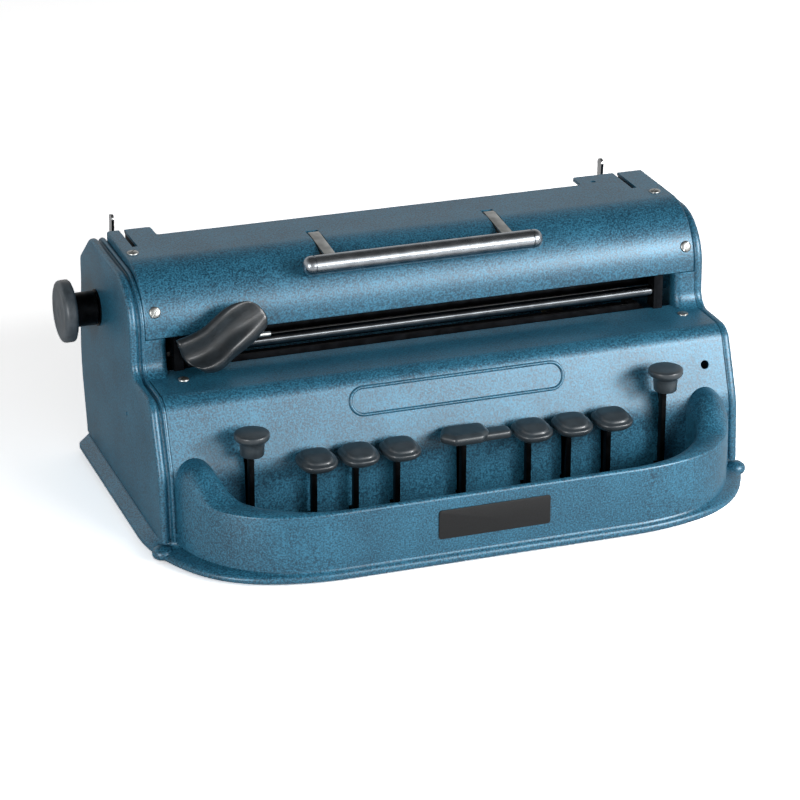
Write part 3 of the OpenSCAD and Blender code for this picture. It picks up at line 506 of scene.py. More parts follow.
def end_recipe(tree, geometry, given):
    """Instances become real, and the finish is set."""
    real = add(tree, "GeometryNodeRealizeInstances", {"Geometry": geometry})
    paint = add(tree, "GeometryNodeSetMaterial", {"Geometry": real.outputs["Geometry"],
                                                  "Material": given["Finish"]})
    add(tree, "NodeGroupOutput", {"Geometry": paint.outputs["Geometry"]})


def grow(tree, start, values):
    """The plain mesh that the tree makes from a starting mesh and the values of its named inputs."""
    holder = bpy.data.objects.new("holder", start)
    maker = holder.modifiers.new("maker", "NODES")
    maker.node_group = tree
    keys = {item.name: item.identifier for item in tree.interface.items_tree if item.in_out == "INPUT"}
    for label, value in values.items():
        maker[keys[label]] = value
    return baked(holder)


def points_mesh(name, points, facing):
    """Loose points in millimetres. facing gives each one a direction, and its length is a size."""
    mesh = bpy.data.meshes.new(name)
    mesh.from_pydata([Vector(p) * MM for p in points], [], [])
    way = mesh.attributes.new("facing", "FLOAT_VECTOR", "POINT")
    way.data.foreach_set("vector", [c for f in facing for c in f])
    return mesh

# %% [markdown]
# ## Turned shapes
#
# Rivets, screws, feet, round caps, knobs and the grip are turned parts: one profile spun round an
# axis. A profile's point on the axis stays one point, so that the shape closes there.

# %% Turned shapes
def turned(profile, centre, axis, steps):
    """A profile of (place along the axis, radius) turned round an axis through centre."""
    others = [(axis + 1) % 3, (axis + 2) % 3]
    points, faces, rings = [], [], []
    for along, radius in profile:
        ring = []
        for k in range(1 if radius == 0 else steps):
            point = [0.0, 0.0, 0.0]
            point[axis] = centre[axis] + along
            point[others[0]] = centre[others[0]] + radius * math.cos(2 * math.pi * k / steps)
            point[others[1]] = centre[others[1]] + radius * math.sin(2 * math.pi * k / steps)
            ring.append(len(points))
            points.append(tuple(point))
        rings.append(ring)
    for a, b in zip(rings, rings[1:]):
        for k in range(steps):
            quad = [a[k % len(a)], a[(k + 1) % len(a)], b[(k + 1) % len(b)], b[k % len(b)]]
            quad = list(dict.fromkeys(quad))
            if len(quad) > 2:
                faces.append(tuple(quad))
    return points, faces


def bar(low, high, radius):
    """The profile of a plain round bar between two places along its axis."""
    return [(low, 0), (low, radius), (high, radius), (high, 0)]


# %% [markdown]
# ## Base casting
#
# The base is one thin casting. A flange runs round it: in front it has a small bead at the floor, a
# groove above it and a sweep up into the wall, and at the sides it is a plain slope. The front wall
# ends in a rounded rim, and at both ends of the key well it swells into a round shoulder. Boxes cut
# by booleans would leave hard edges everywhere, so the casting is lofted: outlines with the same
# corners are joined ring by ring, and the section across the wall changes as it runs round the well.

# %% Base casting
ROUND = 10
SIDE_X, WALL_FRONT_X = 175, 167.5
flange_line = [(-104, -117, 140), (104, -117, 140), (154, -102.5, 68), (181, -52.5, 96),
               (181, 108.5, 6), (-181, 108.5, 6), (-181, -52.5, 96), (-154, -102.5, 68)]
wall_line = [(-102, -115, 132), (102, -115, 132), (150, -101.5, 64), (175, -54.5, 90), (175, 108, 4),
             (-175, 108, 4), (-175, -54.5, 90), (-150, -101.5, 64)]
front_line = [(x * WALL_FRONT_X / SIDE_X if abs(x) == SIDE_X else x, y, r) for x, y, r in wall_line]
well_line = [(0, -111, 0), (90, -111, 80), (118, -103, 58), (142, -76.5, 40), (142, -40, 0)]
# The flange's section in front and at the sides: share of the way in to the wall, and height
FRONT_CURVE = [(0, 3.4), (-0.05, 4.6), (0.05, 5.8), (0.35, 6.7), (0.75, 7.2), (1.15, 7.9),
               (1.35, 9.2), (1.35, 11.2), (1.15, 14), (1, 17)]
SIDE_SLOPE = [(0, 3.4), (0, 5.4), (0.05, 6.0), (0.2, 6.6), (0.35, 7.3), (0.5, 8.0), (0.65, 8.7),
              (0.8, 9.4), (0.92, 10.1), (1, 10.5)]


def mixed(a, b, share):
    """Corners part way from one outline to another."""
    return [tuple(p + (q - p) * share for p, q in zip(one, two)) for one, two in zip(a, b)]


def ease(value, low, high):
    """0 below low, 1 above high, and a soft step between."""
    t = max(0.0, min(1.0, (value - low) / (high - low)))
    return t * t * (3 - 2 * t)


def resample(points, count):
    """The same line with its points at even distances."""
    lengths = [0.0]
    for a, b in zip(points, points[1:]):
        lengths.append(lengths[-1] + math.dist(a, b))
    out, k = [], 0
    for i in range(count):
        target = lengths[-1] * i / (count - 1)
        while k < len(points) - 2 and lengths[k + 1] < target:
            k += 1
        share = (target - lengths[k]) / (lengths[k + 1] - lengths[k])
        out.append(tuple(p + (q - p) * share for p, q in zip(points[k], points[k + 1])))
    return out


def flat_ring(corners, z):
    """An outline's points at one height."""
    return [(x, y, z) for x, y in outline(corners, ROUND)]


flange_rings = [flat_ring(inset(flange_line, 14), 2.5), flat_ring(inset(flange_line, 0.8), 2.5)]
for (front_share, front_z), (side_share, side_z) in zip(FRONT_CURVE, SIDE_SLOPE):
    in_front = outline(mixed(flange_line, front_line, front_share), ROUND)
    at_side = outline(mixed(flange_line, wall_line, side_share), ROUND)
    ring = []
    for (fx, fy), (sx, sy) in zip(in_front, at_side):
        side = ease(sy, -60, -50)
        ring.append((fx + (sx - fx) * side, fy + (sy - fy) * side, front_z + (side_z - front_z) * side))
    flange_rings.append(ring)
flange_rings.append(flat_ring(inset(front_line, 2.6), 10.4))
flange_rings.append(flat_ring(inset(flange_line, 14), 10.4))

lip_rings = [flat_ring(inset(flange_line, depth), z)
             for depth, z in ((13, 5), (13, 7.5), (24, 7.5), (24, 5))]

# The wall's outer and inner line from the middle of the front to the side plate, then its sections
STATIONS, ACROSS = 64, 16
RIM, BACK, WELL_X = 42.5, -46.0, 142
outer_corners = [(0, -115, 0)] + front_line[1:4] + [(WALL_FRONT_X, 60, 0)]
outer_line = [p for p in outline(outer_corners, 14) if p[1] < BACK]
inner_line = [p for p in outline(well_line, 14) if p[1] < BACK]
outer_line = resample(outer_line + [(WALL_FRONT_X, BACK)], STATIONS)
inner_line = resample(inner_line + [(WELL_X, BACK)], STATIONS)
sections = []
for (ox, oy), (ix, iy) in zip(outer_line, inner_line):
    swell = ease(oy, -90, -61)
    arch = 2.0 + 13.2 * swell
    section = [(ox, oy, 9.0)]
    for k in range(ACROSS + 1):
        angle = math.pi * k / ACROSS
        u = (1 - math.cos(angle)) / 2
        height = RIM - 2 + arch * math.sin(angle) + 1.5 * swell
        section.append((ox + (ix - ox) * u, oy + (iy - oy) * u, height))
    section.append((ix, iy, 9.0))
    sections.append(section)
sections = [[(-x, y, z) for x, y, z in s] for s in reversed(sections[1:])] + sections
# A small round toe stands under each lower front corner, where the side plate's bead runs out
TOE = [(2.5, 0), (2.5, 4.4), (3.0, 5.3), (4.2, 6.0), (5.8, 6.1), (7.4, 5.4), (8.7, 3.8),
       (9.4, 1.8), (9.6, 0)]
toes = [turned(TOE, (side * 174.2, -56.5, 0), 2, 32) for side in (-1, 1)]
base_parts = [skin(flange_rings), skin(lip_rings), capped(sections)] + toes
base = piece_from("base_casting_shell", base_parts, enamel, "housing",
                  ["base_casting"], smooth=50)
print("base casting:", len(base.data.polygons), "faces")

# %% [markdown]
# ## Side plates
#
# Each side plate is a flat casting with a band round its edge. On the left the band carries two round
# beads with a groove between them, on the right a single one. The band is lofted along X: the plate's
# outline is drawn again and again, moved inwards by the depth that the band's section has there. The
# pillars at the ends of the carriage slot grow from the same casting, with a round inner edge.

# %% Side plates
plate_line = [(-57.5, 10.5, 0), (108, 10.5, 0), (108.5, 15.5, 10), (119, 59, 100), (111.5, 105, 60),
              (111.5, 122.6, 6), (87, 142, 16), (-0.5, 142, 30), (-1.5, 88.5, 9), (-39, 88.5, 12),
              (-54.8, 48, 39)]
# A band's section: place along X, and depth inwards from the plate's outline
LEFT_BAND = [(175, 2.3), (174.85, 1.4), (174.3, 0.6), (173.4, 0.1), (172.5, 0), (171.6, 0.15),
             (170.8, 0.7), (170.3, 1.5), (169.9, 2.1), (169.3, 2.3), (168.7, 2.1), (168.45, 1.3),
             (168.1, 0.55), (167.5, 0.2), (166.8, 0.2), (166.2, 0.6), (166, 1.4), (166, 5), (171, 5)]
RIGHT_BAND = [(175, 2.5), (174.8, 1.5), (174.2, 0.65), (173.3, 0.15), (172.3, 0), (171.3, 0.1),
              (170.4, 0.5), (169.8, 1.2), (169.5, 2.2), (169.5, 5), (171, 5)]
ROLLER_AT = (0, 72.5, 103.8)
# Bosses for the key shaft, margin rail, drum, rear shaft and roller: Y, Z, radius, depth
BOSSES = [(2, 19, 7, 6), (46.5, 90, 8, 6), (75, 80, 7, 6), (104, 60, 6, 6), (*ROLLER_AT[1:], 12, 3)]
PILLAR_EDGE = [(0, 0.5), (8.3, 0.5), (9.7, 0.75), (10.9, 1.4), (11.9, 2.4), (12.5, 3.6), (12.8, 5.0)]


def plate_with_bosses(band):
    """The band's rings, the plate's two faces, and the bosses that carry shafts and rails."""
    rings = [[(x, y, z) for y, z in outline(inset(plate_line, depth), ROUND)] for x, depth in band]
    parts = [capped(rings)]
    for y, z, radius, depth in BOSSES:
        parts.append(turned([(171.5, 0), (171.5, radius), (171 - depth + 0.6, radius),
                             (171 - depth, radius - 0.6), (171 - depth, 0)], (0, y, z), 0, 32))
    return parts


def pillar(from_x):
    """A column on the shelf. Its front follows the plate, and its inner edge is round."""
    rings = []
    for step, depth in PILLAR_EDGE:
        foot = arc((-10.4, 97.5), 9 + depth, 0, -90, 10)
        line = [(8.2, 109.2), (-0.9 + depth, 109.2)] + foot + [(-10.4, 86.6), (8.2, 86.6)]
        rings.append([(from_x - step, y, z) for y, z in line])
    return capped(rings)


rivet = turned([(174.9, 0), (174.9, 1.3), (175.35, 1.2), (175.5, 0.7), (175.5, 0)],
               (0, 11.6, 61.7), 0, 16)
left_parts = plate_with_bosses(LEFT_BAND) + [pillar(166.2), rivet]
side_left = piece_from("side_plate_left_casting", left_parts, enamel, "housing",
                       ["side_plate_left"], smooth=40, mirror=True)
right_parts = plate_with_bosses(RIGHT_BAND) + [pillar(169.7)]
side_right = piece_from("side_plate_right_casting", right_parts, enamel, "housing",
                        ["side_plate_right"], smooth=40)
print("side plates:", len(side_left.data.polygons), "and", len(side_right.data.polygons), "faces")

# %% [markdown]
# ## Cover and front panel
#
# Both are bent steel sheet, 2 mm thick. A bent sheet is a profile, drawn once outside and once 2 mm
# inside, that runs along X, so it is lofted between two stations, with extra stations where the
# cover's rear edge steps back for the paper. All the slots of a sheet are then cut by one boolean, as
# the real sheet is punched, and the cover's two ends are drawn in a little, which rounds their edges.

# %% Cutting sheets
def cut(mesh, tools):
    """The mesh with closed shapes taken out of it."""
    knife = bpy.data.objects.new("knife", mesh_of("cutter", tools, merge=False))
    bpy.context.scene.collection.objects.link(knife)
    holder = bpy.data.objects.new("holder", mesh)
    difference = holder.modifiers.new("cut", "BOOLEAN")
    difference.operation = "DIFFERENCE"
    difference.solver = "EXACT"
    difference.object = knife
    done = baked(holder)
    bpy.data.objects.remove(knife)
    return done


def slab(low, high):
    """The eight corners and six sides of a straight-sided space."""
    points = [(x, y, z) for x in (low[0], high[0]) for y in (low[1], high[1])
              for z in (low[2], high[2])]
    return points, [(0, 1, 3, 2), (4, 6, 7, 5), (0, 4, 5, 1), (2, 3, 7, 6), (0, 2, 6, 4), (1, 5, 7, 3)]


# %% Top cover
SHEET = 2.0
COVER_CENTRE, COVER_R = (33.5, 112.5), 34
COVER_TOP = COVER_CENTRE[1] + COVER_R
LEFT_END, RIGHT_END = -166, 169.5
SLITS = (-157, 152)
STRAP_X = 54


def cover_ring(x, back, lift):
    """The cover's section: up the front, over the round shoulder and back along the top.

    lift draws the section towards the shoulder's centre, which rounds the sheet's ends.
    """
    outer = ([(-0.5, 109.9), (-0.5, 110.6)] + arc(COVER_CENTRE, COVER_R, 180, 90, 26)
             + [(back - 0.7, COVER_TOP), (back, 145.8)])
    inner = ([(back, COVER_TOP - SHEET)] + arc(COVER_CENTRE, COVER_R - SHEET, 90, 180, 26)
             + [(1.5, 109.5), (-0.1, 109.5)])
    share = lift / COVER_R
    return [(x, y + (COVER_CENTRE[0] - y) * share, z + (COVER_CENTRE[1] - z) * share)
            for y, z in outer + inner]


# The sheet reaches to EAR at its two ends and to MIDDLE between them: place along X, reach, lift
EAR, MIDDLE = 81.0, 67.0
stations = [(LEFT_END, EAR, 0.9), (-165.75, EAR, 0.35), (-165.2, EAR, 0), (-141.6, EAR, 0),
            (-140.4, EAR - 0.6, 0), (-140, EAR - 1.8, 0), (-139.98, MIDDLE + 1.5, 0),
            (-139.4, MIDDLE + 0.4, 0), (-138, MIDDLE, 0), (122, MIDDLE, 0), (123.4, MIDDLE + 0.4, 0),
            (123.98, MIDDLE + 1.5, 0), (124, EAR - 1.8, 0), (124.4, EAR - 0.6, 0), (125.6, EAR, 0),
            (168.7, EAR, 0), (169.25, EAR, 0.35), (RIGHT_END, EAR, 0.9)]
cover_mesh = mesh_of("cover", [capped([cover_ring(*s) for s in stations])])
cuts = [slab((x - 1.6, 51, 140), (x + 1.6, 90, 150)) for x in SLITS]
cuts += [slab((x - 3.75, 13, 130), (x + 3.75, 43.5, 150)) for x in (-STRAP_X, STRAP_X)]
cuts.append(turned(bar(140, 150, 1.6), (133.1, 69.5, 0), 2, 20))
cover = finish_piece("top_cover_sheet", cut(cover_mesh, cuts), enamel, "housing",
                     ["top_cover"], 30)

ends = []
for from_x, to_x in ((-165.9, -164), (167.5, 169.4)):
    rings = []
    for x in (from_x, to_x):
        line = ([(0.1, 109.6)] + arc(COVER_CENTRE, 33.2, 180, 90, 20) + [(80, 145.7), (80, 138.5)]
                + arc(COVER_CENTRE, 26, 90, 180, 20) + [(7.5, 109.6)])
        rings.append([(x, y, z) for y, z in line])
    ends.append(capped(rings))
lug_places = [s * STRAP_X + t * 5.25 for s in (-1, 1) for t in (-1, 1)]
lugs = [slab((x - 1.5, 35, 138.5), (x + 1.5, 43, 145)) for x in lug_places]
piece_from("top_cover_ends", ends + lugs, enamel, "housing", smooth=30)

# A thin dark guide lies on each side of a slit, under the sheet, and the release lever swings between.
# The guides and their near-black colour also stand in as painted shade inside the slits.
guides = [slab((x + side * 2.4 - 0.4, 50, 122), (x + side * 2.4 + 0.4, 80.5, 144.4))
          for x in SLITS for side in (-1, 1)]
piece_from("release_guides", guides, phosphate_and_inner_shade, "housing", smooth=30)
print("cover:", len(cover.data.polygons), "faces")

# %% [markdown]
# ## Front panel
#
# The panel rises behind the keys, leans back from a wide bend, and turns into the shelf below the
# carriage slot. The key levers come out through slots at its foot, and a small round hole is punched
# at its right. on_face lays a flat drawing on its sloping face, for that hole and the bead below.

# %% Front panel
SHELF_Z = 88.5
FACE_FOOT, FACE_TOP = (-54.1, 48), (-38.7, SHELF_Z)
FACE_RUN, FACE_RISE = 15.4, 40.5
SLOPE = math.atan2(FACE_RISE, FACE_RUN)
panel_line = [(-56.5, 7.8, 0), (29.5, 7.8, 0), (29.5, SHELF_Z, 0), (*FACE_TOP, 11), (*FACE_FOOT, 38)]


def on_face(x, z, point):
    """A point drawn on the panel's face (right, up, out), centred at x and the height z."""
    a, b, c = point
    face_y = FACE_FOOT[0] + (z - FACE_FOOT[1]) * FACE_RUN / FACE_RISE
    return (x + a, face_y + b * math.cos(SLOPE) - c * math.sin(SLOPE),
            z + b * math.sin(SLOPE) + c * math.cos(SLOPE))


def open_profile(corners, back):
    """The part of an outline from its lower front to its top at the place back."""
    line = outline(corners, 18)
    front = line[3:] + line[:1]
    return [(back, front[0][1])] + front


outside = open_profile(panel_line, 3.5)
within = open_profile(inset(panel_line, SHEET), 1.5)
section = ([(3.5, 87.2), (3.3, 88.0), (2.6, SHELF_Z)] + outside[1:] + [(within[-1][0], 7.8)]
           + list(reversed(within[1:-1])) + [(1.5, 86.5), (1.5, 78.5), (3.5, 78.5)])
panel_mesh = mesh_of("panel", [capped([[(x, y, z) for y, z in section]
                                       for x in (LEFT_END, RIGHT_END)])])
LEVERS = {f"dot_{k}": f"dot_lever_{k}" for k in range(1, 7)}
LEVERS |= {key: f"{key}_lever" for key in ("space", "line", "backspace")}
KEYS = {key: sum(corner[0] for corner in size_of(node)) / 2 for key, node in LEVERS.items()}
cuts = [slab((x - 2.3, -62.5, -5), (x + 2.3, -42.5, 17.2)) for x in KEYS.values()]
hole_points, hole_faces = turned(bar(-10, 10, 2.6), (0, 0, 0), 2, 24)
cuts.append(([on_face(157, 69, p) for p in hole_points], hole_faces))
panel = finish_piece("front_panel_sheet", cut(panel_mesh, cuts), enamel, "housing",
                     ["front_panel"], 30)
print("panel:", len(panel.data.polygons), "faces, slots for", len(KEYS), "levers")

# %% [markdown]
# ## What is fixed to the panel
#
# The oval on the panel is a raised bead that follows a path, so Geometry Nodes sweep a small round
# section along a rounded rectangle. It is drawn flat, and on_face lays it on the panel's sloping face.

# %% The oval bead
sweep, given = recipe("bead_on_a_rounded_path", [("Length", "Float"), ("Height", "Float"),
                                                 ("Corner", "Float"), ("Bead", "Float")])
path = add(sweep, "GeometryNodeCurvePrimitiveQuadrilateral", {"Width": given["Length"],
                                                              "Height": given["Height"]})
soft_path = add(sweep, "GeometryNodeFilletCurve", {"Curve": path.outputs["Curve"], "Count": 18,
                                                   "Radius": given["Corner"]}, mode="POLY")
round_section = add(sweep, "GeometryNodeCurvePrimitiveCircle", {"Radius": given["Bead"],
                                                                "Resolution": 10})
bead = add(sweep, "GeometryNodeCurveToMesh", {"Curve": soft_path.outputs["Curve"],
                                              "Profile Curve": round_section.outputs["Curve"]})
end_recipe(sweep, bead.outputs["Mesh"], given)
OVAL_X, OVAL_Z = 4.3, 74.5
oval_mesh = grow(sweep, bpy.data.meshes.new("start"),
                 {"Length": 128.4 * MM, "Height": 15.4 * MM, "Corner": 7.65 * MM, "Bead": 1.05 * MM,
                  "Finish": enamel})
for vertex in oval_mesh.vertices:
    vertex.co = Vector(on_face(OVAL_X, OVAL_Z, vertex.co / MM)) * MM
oval = finish_piece("oval_bead", oval_mesh, enamel, "housing", smooth=60)
print("oval bead:", len(oval.data.polygons), "faces")

# %% [markdown]
# ## Back and inner sheets
#
# The back is a sheet that bulges like the side plates' rear edge. The paper table is a small folded
# sheet behind the roller: its CAD shape is right and only gets rounded edges. The back comes from a
# profile, as the cover does. The plate on the front wall gets soft corners, so that its edge catches
# light.

# %% Back, paper table, plate
def part_of(corners, low_z, high_z, from_y):
    """The stretch of an outline behind from_y and between two heights, cut off exactly at them."""
    line = [p for p in outline(corners, 16) if low_z < p[1] < high_z and p[0] > from_y]
    return [(line[0][0], low_z)] + line + [(line[-1][0], high_z)]


BACK_DEPTH = 3
BACK_LOW, BACK_HIGH, BACK_FROM = 13.6, 112, 99
back_out = part_of(inset(plate_line, BACK_DEPTH), BACK_LOW, BACK_HIGH, BACK_FROM)
back_in = part_of(inset(plate_line, BACK_DEPTH + SHEET), BACK_LOW, BACK_HIGH, BACK_FROM)
back_mesh = mesh_of("back", [capped([[(x, y, z) for y, z in back_out + list(reversed(back_in))]
                                     for x in (LEFT_END, RIGHT_END)])])
back_mesh = cut(back_mesh, [slab((-145, 100, 58), (145, 130, 67))])
finish_piece("back_panel_sheet", back_mesh, enamel, "housing", ["back_panel"], 30)
dress("paper_table", enamel, 0.3)

plate_low, plate_high = size_of("label_plate")
corners = [(-33, 17.5, 1.6), (33, 17.5, 1.6), (33, 34.8, 1.6), (-33, 34.8, 1.6)]
rings = [[(x, y, z) for x, z in outline(inset(corners, depth), 6)]
         for y, depth in ((-115.0, 0.05), (-115.55, 0), (-115.72, 0.1), (-115.8, 0.35))]
piece_from("label_plate_blank", [capped(rings)], anodised, "housing", ["label_plate"],
           smooth=40)
print("plate:", [round(v, 1) for v in plate_high - plate_low], "mm")

# %% [markdown]
# ## Screws
#
# A screw is one small mesh: a low dome with a slot, turned and then cut. Its places differ in
# direction and size, so the starting mesh is a cloud of points that carry a direction and a size, and
# Geometry Nodes put a copy of the head on each and turn it outwards.

# %% Screws
head_profile = [(-1.2, 0), (-1.2, 3.4), (0.25, 3.4), (0.62, 3.2), (0.95, 2.7), (1.2, 1.9),
                (1.32, 0.9), (1.35, 0)]
head_mesh = mesh_of("screw_head", [turned(head_profile, (0, 0, 0), 2, 28)])
head_mesh = cut(head_mesh, [slab((-4, -0.42, 0.75), (4, 0.42, 2))])
screw_head = bpy.data.objects.new("screw_head", head_mesh)

scatter, given = recipe("heads_on_points", [("Head", "Object"), ("Turn", "Float")])
shape = add(scatter, "GeometryNodeObjectInfo", {"Object": given["Head"], "As Instance": False})
way = add(scatter, "GeometryNodeInputNamedAttribute", {"Name": "facing"}, data_type="FLOAT_VECTOR")
length = add(scatter, "ShaderNodeVectorMath", {0: way.outputs["Attribute"]}, operation="LENGTH")
spin = add(scatter, "FunctionNodeAxisAngleToRotation", {"Axis": (0, 0, 1), "Angle": given["Turn"]})
lean = add(scatter, "FunctionNodeAlignRotationToVector", {"Vector": way.outputs["Attribute"]}, axis="Z")
both = add(scatter, "FunctionNodeRotateRotation", {"Rotation": lean.outputs["Rotation"],
                                                   "Rotate By": spin.outputs["Rotation"]},
           rotation_space="LOCAL")
heads = add(scatter, "GeometryNodeInstanceOnPoints", {
    "Points": given["Geometry"], "Instance": shape.outputs["Geometry"],
    "Rotation": both.outputs["Rotation"], "Scale": length.outputs["Value"]})
end_recipe(scatter, heads.outputs["Instances"], given)

RISE = math.radians(21)
arc_y = COVER_CENTRE[0] - COVER_R * math.cos(RISE)
arc_z = COVER_CENTRE[1] + COVER_R * math.sin(RISE)
front_way = (0, -math.cos(RISE), math.sin(RISE))
places = [((x, arc_y, arc_z), front_way, 1.0) for x in (-159.6, 164.3)]
places += [((x, 41, COVER_TOP), (0, 0, 1), 1.0) for x in (-161, 161)]
places += [((x, -13, SHELF_Z), (0, 0, 1), 0.94) for x in (-148, 157.2)]
places += [((s * x, y, 3.5), (0, 0, -1), 0.8)
           for x, y in ((161, -47), (161, 57), (70, -98), (90, 89.5)) for s in (-1, 1)]
cloud = points_mesh("screw_places", [p for p, _, _ in places],
                    [tuple(c * size for c in facing) for _, facing, size in places])
screws = grow(scatter, cloud, {"Head": screw_head, "Turn": 0.9, "Finish": zinc})
finish_piece("cover_and_base_screws", screws, zinc, "housing", ["housing_screws"])
print("screws:", len(places))

# %% [markdown]
# ## Feet
#
# The rubber feet are one turned shape on four points, placed by the same recipe as the screws.

# %% Feet
FOOT = [(0, 0), (0, 7.8), (0.5, 8.7), (1.3, 9), (3.4, 8.6), (3.4, 0)]
foot = bpy.data.objects.new("foot", mesh_of("foot", [turned(FOOT, (0, 0, 0), 2, 36)]))
feet_places = [(-144, 77, 0), (144, 77, 0), (-110, -79, 0), (110, -79, 0)]
cloud = points_mesh("feet_places", feet_places, [(0, 0, 1)] * 4)
feet = grow(scatter, cloud, {"Head": foot, "Turn": 0.0, "Finish": rubber})
finish_piece("rubber_feet_turned", feet, rubber, "housing", ["rubber_feet"])
print("feet:", len(feet_places))

# %% [markdown]
# ## Springs
#
# Under each key lever a coil spring pushes the lever up. It is a spiral with a round wire section
# swept along it. Each spring is a piece of its own, because it flattens as its key goes down.

# %% Springs
coil, given = recipe("coil_spring", [("Turns", "Float"), ("Radius", "Float"), ("Height", "Float"),
                                     ("Wire", "Float")])
spiral = add(coil, "GeometryNodeCurveSpiral", {
    "Resolution": 18, "Rotations": given["Turns"], "Height": given["Height"],
    "Start Radius": given["Radius"], "End Radius": given["Radius"]})
wire = add(coil, "GeometryNodeCurvePrimitiveCircle", {"Radius": given["Wire"], "Resolution": 8})
wound = add(coil, "GeometryNodeCurveToMesh", {"Curve": spiral.outputs["Curve"], "Fill Caps": True,
                                              "Profile Curve": wire.outputs["Curve"]})
end_recipe(coil, wound.outputs["Mesh"], given)
spring_sizes = {"Turns": 6.0, "Radius": 3.0 * MM, "Height": 9.0 * MM, "Wire": 0.42 * MM}
for key, x in KEYS.items():
    mesh = grow(coil, bpy.data.meshes.new("start"), spring_sizes | {"Finish": spring_steel})
    for vertex in mesh.vertices:
        vertex.co += Vector((x, -24, 5.45)) * MM
    hides = ["key_springs"] if key == "space" else []
    spring = finish_piece("spring_" + key, mesh, spring_steel, "housing", hides, 60)
    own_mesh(spring)
print("springs:", len(KEYS), "with", spring_sizes["Turns"], "turns each")

# %% [markdown]
# ## Key caps
#
# The caps are moulded, with no straight edge on them. A dot key's cap is a boat-like body with a
# raised, slightly crowned pad, lower at its front. It is built from a stack of rings, each a
# superellipse (a shape between a circle and a rectangle), and one level of subdivision rounds what is
# left.

# %% Key caps
CAP_POINTS = 32


def plan_ring(z, half_x, front, back, square, nose, tilt):
    """One level of a cap: a superellipse that narrows by nose and drops by tilt at its front."""
    ring = []
    middle, half_y = (front + back) / 2, (back - front) / 2
    for k in range(CAP_POINTS):
        c, s = math.cos(2 * math.pi * k / CAP_POINTS), math.sin(2 * math.pi * k / CAP_POINTS)
        x = half_x * math.copysign(abs(c) ** (2 / square), c)
        y = half_y * math.copysign(abs(s) ** (2 / square), s)
        to_front = max(0.0, -y / half_y)
        ring.append((x * (1 - nose * to_front ** 2), middle + y, z - tilt * to_front ** 1.5))
    return ring


def smooth_mesh(name, parts, material, body, replaces):
    """Closed shells of moulded plastic, rounded by one level of subdivision."""
    holder = bpy.data.objects.new("holder", mesh_of(name, parts))
    rounder = holder.modifiers.new("round", "SUBSURF")
    rounder.levels = rounder.render_levels = 1
    return finish_piece(name, baked(holder), material, body, replaces, 75)


# Height, half width, front and back from the cap's middle, squareness, nose, tilt of the front
CAP_LEVELS = [(0.0, 2.0, -1.0, 6.0, 2.0, 0, 0), (0.05, 5.4, -4.5, 10.3, 2.6, 0.08, 0),
              (1.1, 7.9, -7.6, 11.0, 2.8, 0.12, 0), (3.0, 10.3, -10.6, 11.6, 3.0, 0.15, 0),
              (4.7, 11.2, -11.6, 11.9, 3.1, 0.16, 0.2), (6.5, 11.3, -11.7, 12.0, 3.2, 0.17, 0.6),
              (7.4, 10.8, -11.2, 11.6, 3.2, 0.18, 0.9), (7.8, 9.5, -10.1, 10.6, 3.2, 0.19, 1.1),
              (8.1, 8.9, -9.5, 10.0, 3.3, 0.19, 1.2), (9.6, 8.5, -9.1, 9.7, 3.3, 0.2, 1.4),
              (10.2, 7.6, -8.2, 8.9, 3.1, 0.2, 1.5), (10.35, 4.4, -4.8, 5.6, 2.6, 0.15, 1.0),
              (10.4, 1.3, -1.5, 1.9, 2.0, 0, 0.2)]
CAP_MIDDLE = -67.5
for k in range(1, 7):
    low, high = size_of(f"dot_cap_{k}")
    rings = []
    for z, half, front, back, square, nose, tilt in CAP_LEVELS:
        ring = plan_ring(low[2] + z, half, CAP_MIDDLE + front, CAP_MIDDLE + back, square, nose, tilt)
        rings.append([(px + (low[0] + high[0]) / 2, py, pz) for px, py, pz in ring])
    smooth_mesh(f"dot_cap_{k}_moulded", [capped(rings)], cap_resin, f"key_dot_{k}", [f"dot_cap_{k}"])
print("dot caps:", len(CAP_LEVELS), "levels each")

# %% [markdown]
# ## Space bar and round caps
#
# The space bar is a broad pad with an arm to the right. Each of the two is one outline, moved in a
# little at every level, which rounds its edges. The caps of the line key and the backspace key are
# turned.

# %% Space bar and round caps
PAD_X, PAD_Z = KEYS["space"], size_of("space_bar")[0][2]
pad = [(-16, -66, 3.5), (-9, -73.5, 4), (8, -73.5, 4), (14, -68, 5), (14, -54, 5), (-10, -53, 6)]
arm = [(2, -70.5, 0.8), (26.8, -70.5, 3), (26.8, -60, 3), (2, -60, 0.8)]
# Height of a level above the bar's foot, and how far the outline moves in there
PAD_LEVELS = [(0, 6.2), (0.15, 3.2), (1.3, 1.1), (2.6, 0.15), (4.0, 0), (5.2, 0.2), (6.0, 0.9),
              (6.3, 1.5), (6.75, 2.1), (7.0, 3.4), (7.1, 6.4)]
ARM_LEVELS = [(0.4, 2.0), (0.7, 0.8), (1.6, 0.1), (3.4, 0), (4.5, 0.3), (5.1, 1.0), (5.3, 2.4)]


def bar_shell(corners, levels):
    """A part of the space bar: its outline at each level, as a closed loft."""
    return capped([[(x + PAD_X, y, z + PAD_Z) for x, y in outline(inset(corners, depth), 5)]
                   for z, depth in levels])


smooth_mesh("space_bar_moulded", [bar_shell(pad, PAD_LEVELS), bar_shell(arm, ARM_LEVELS)], cap_resin,
            "key_space", ["space_bar"])

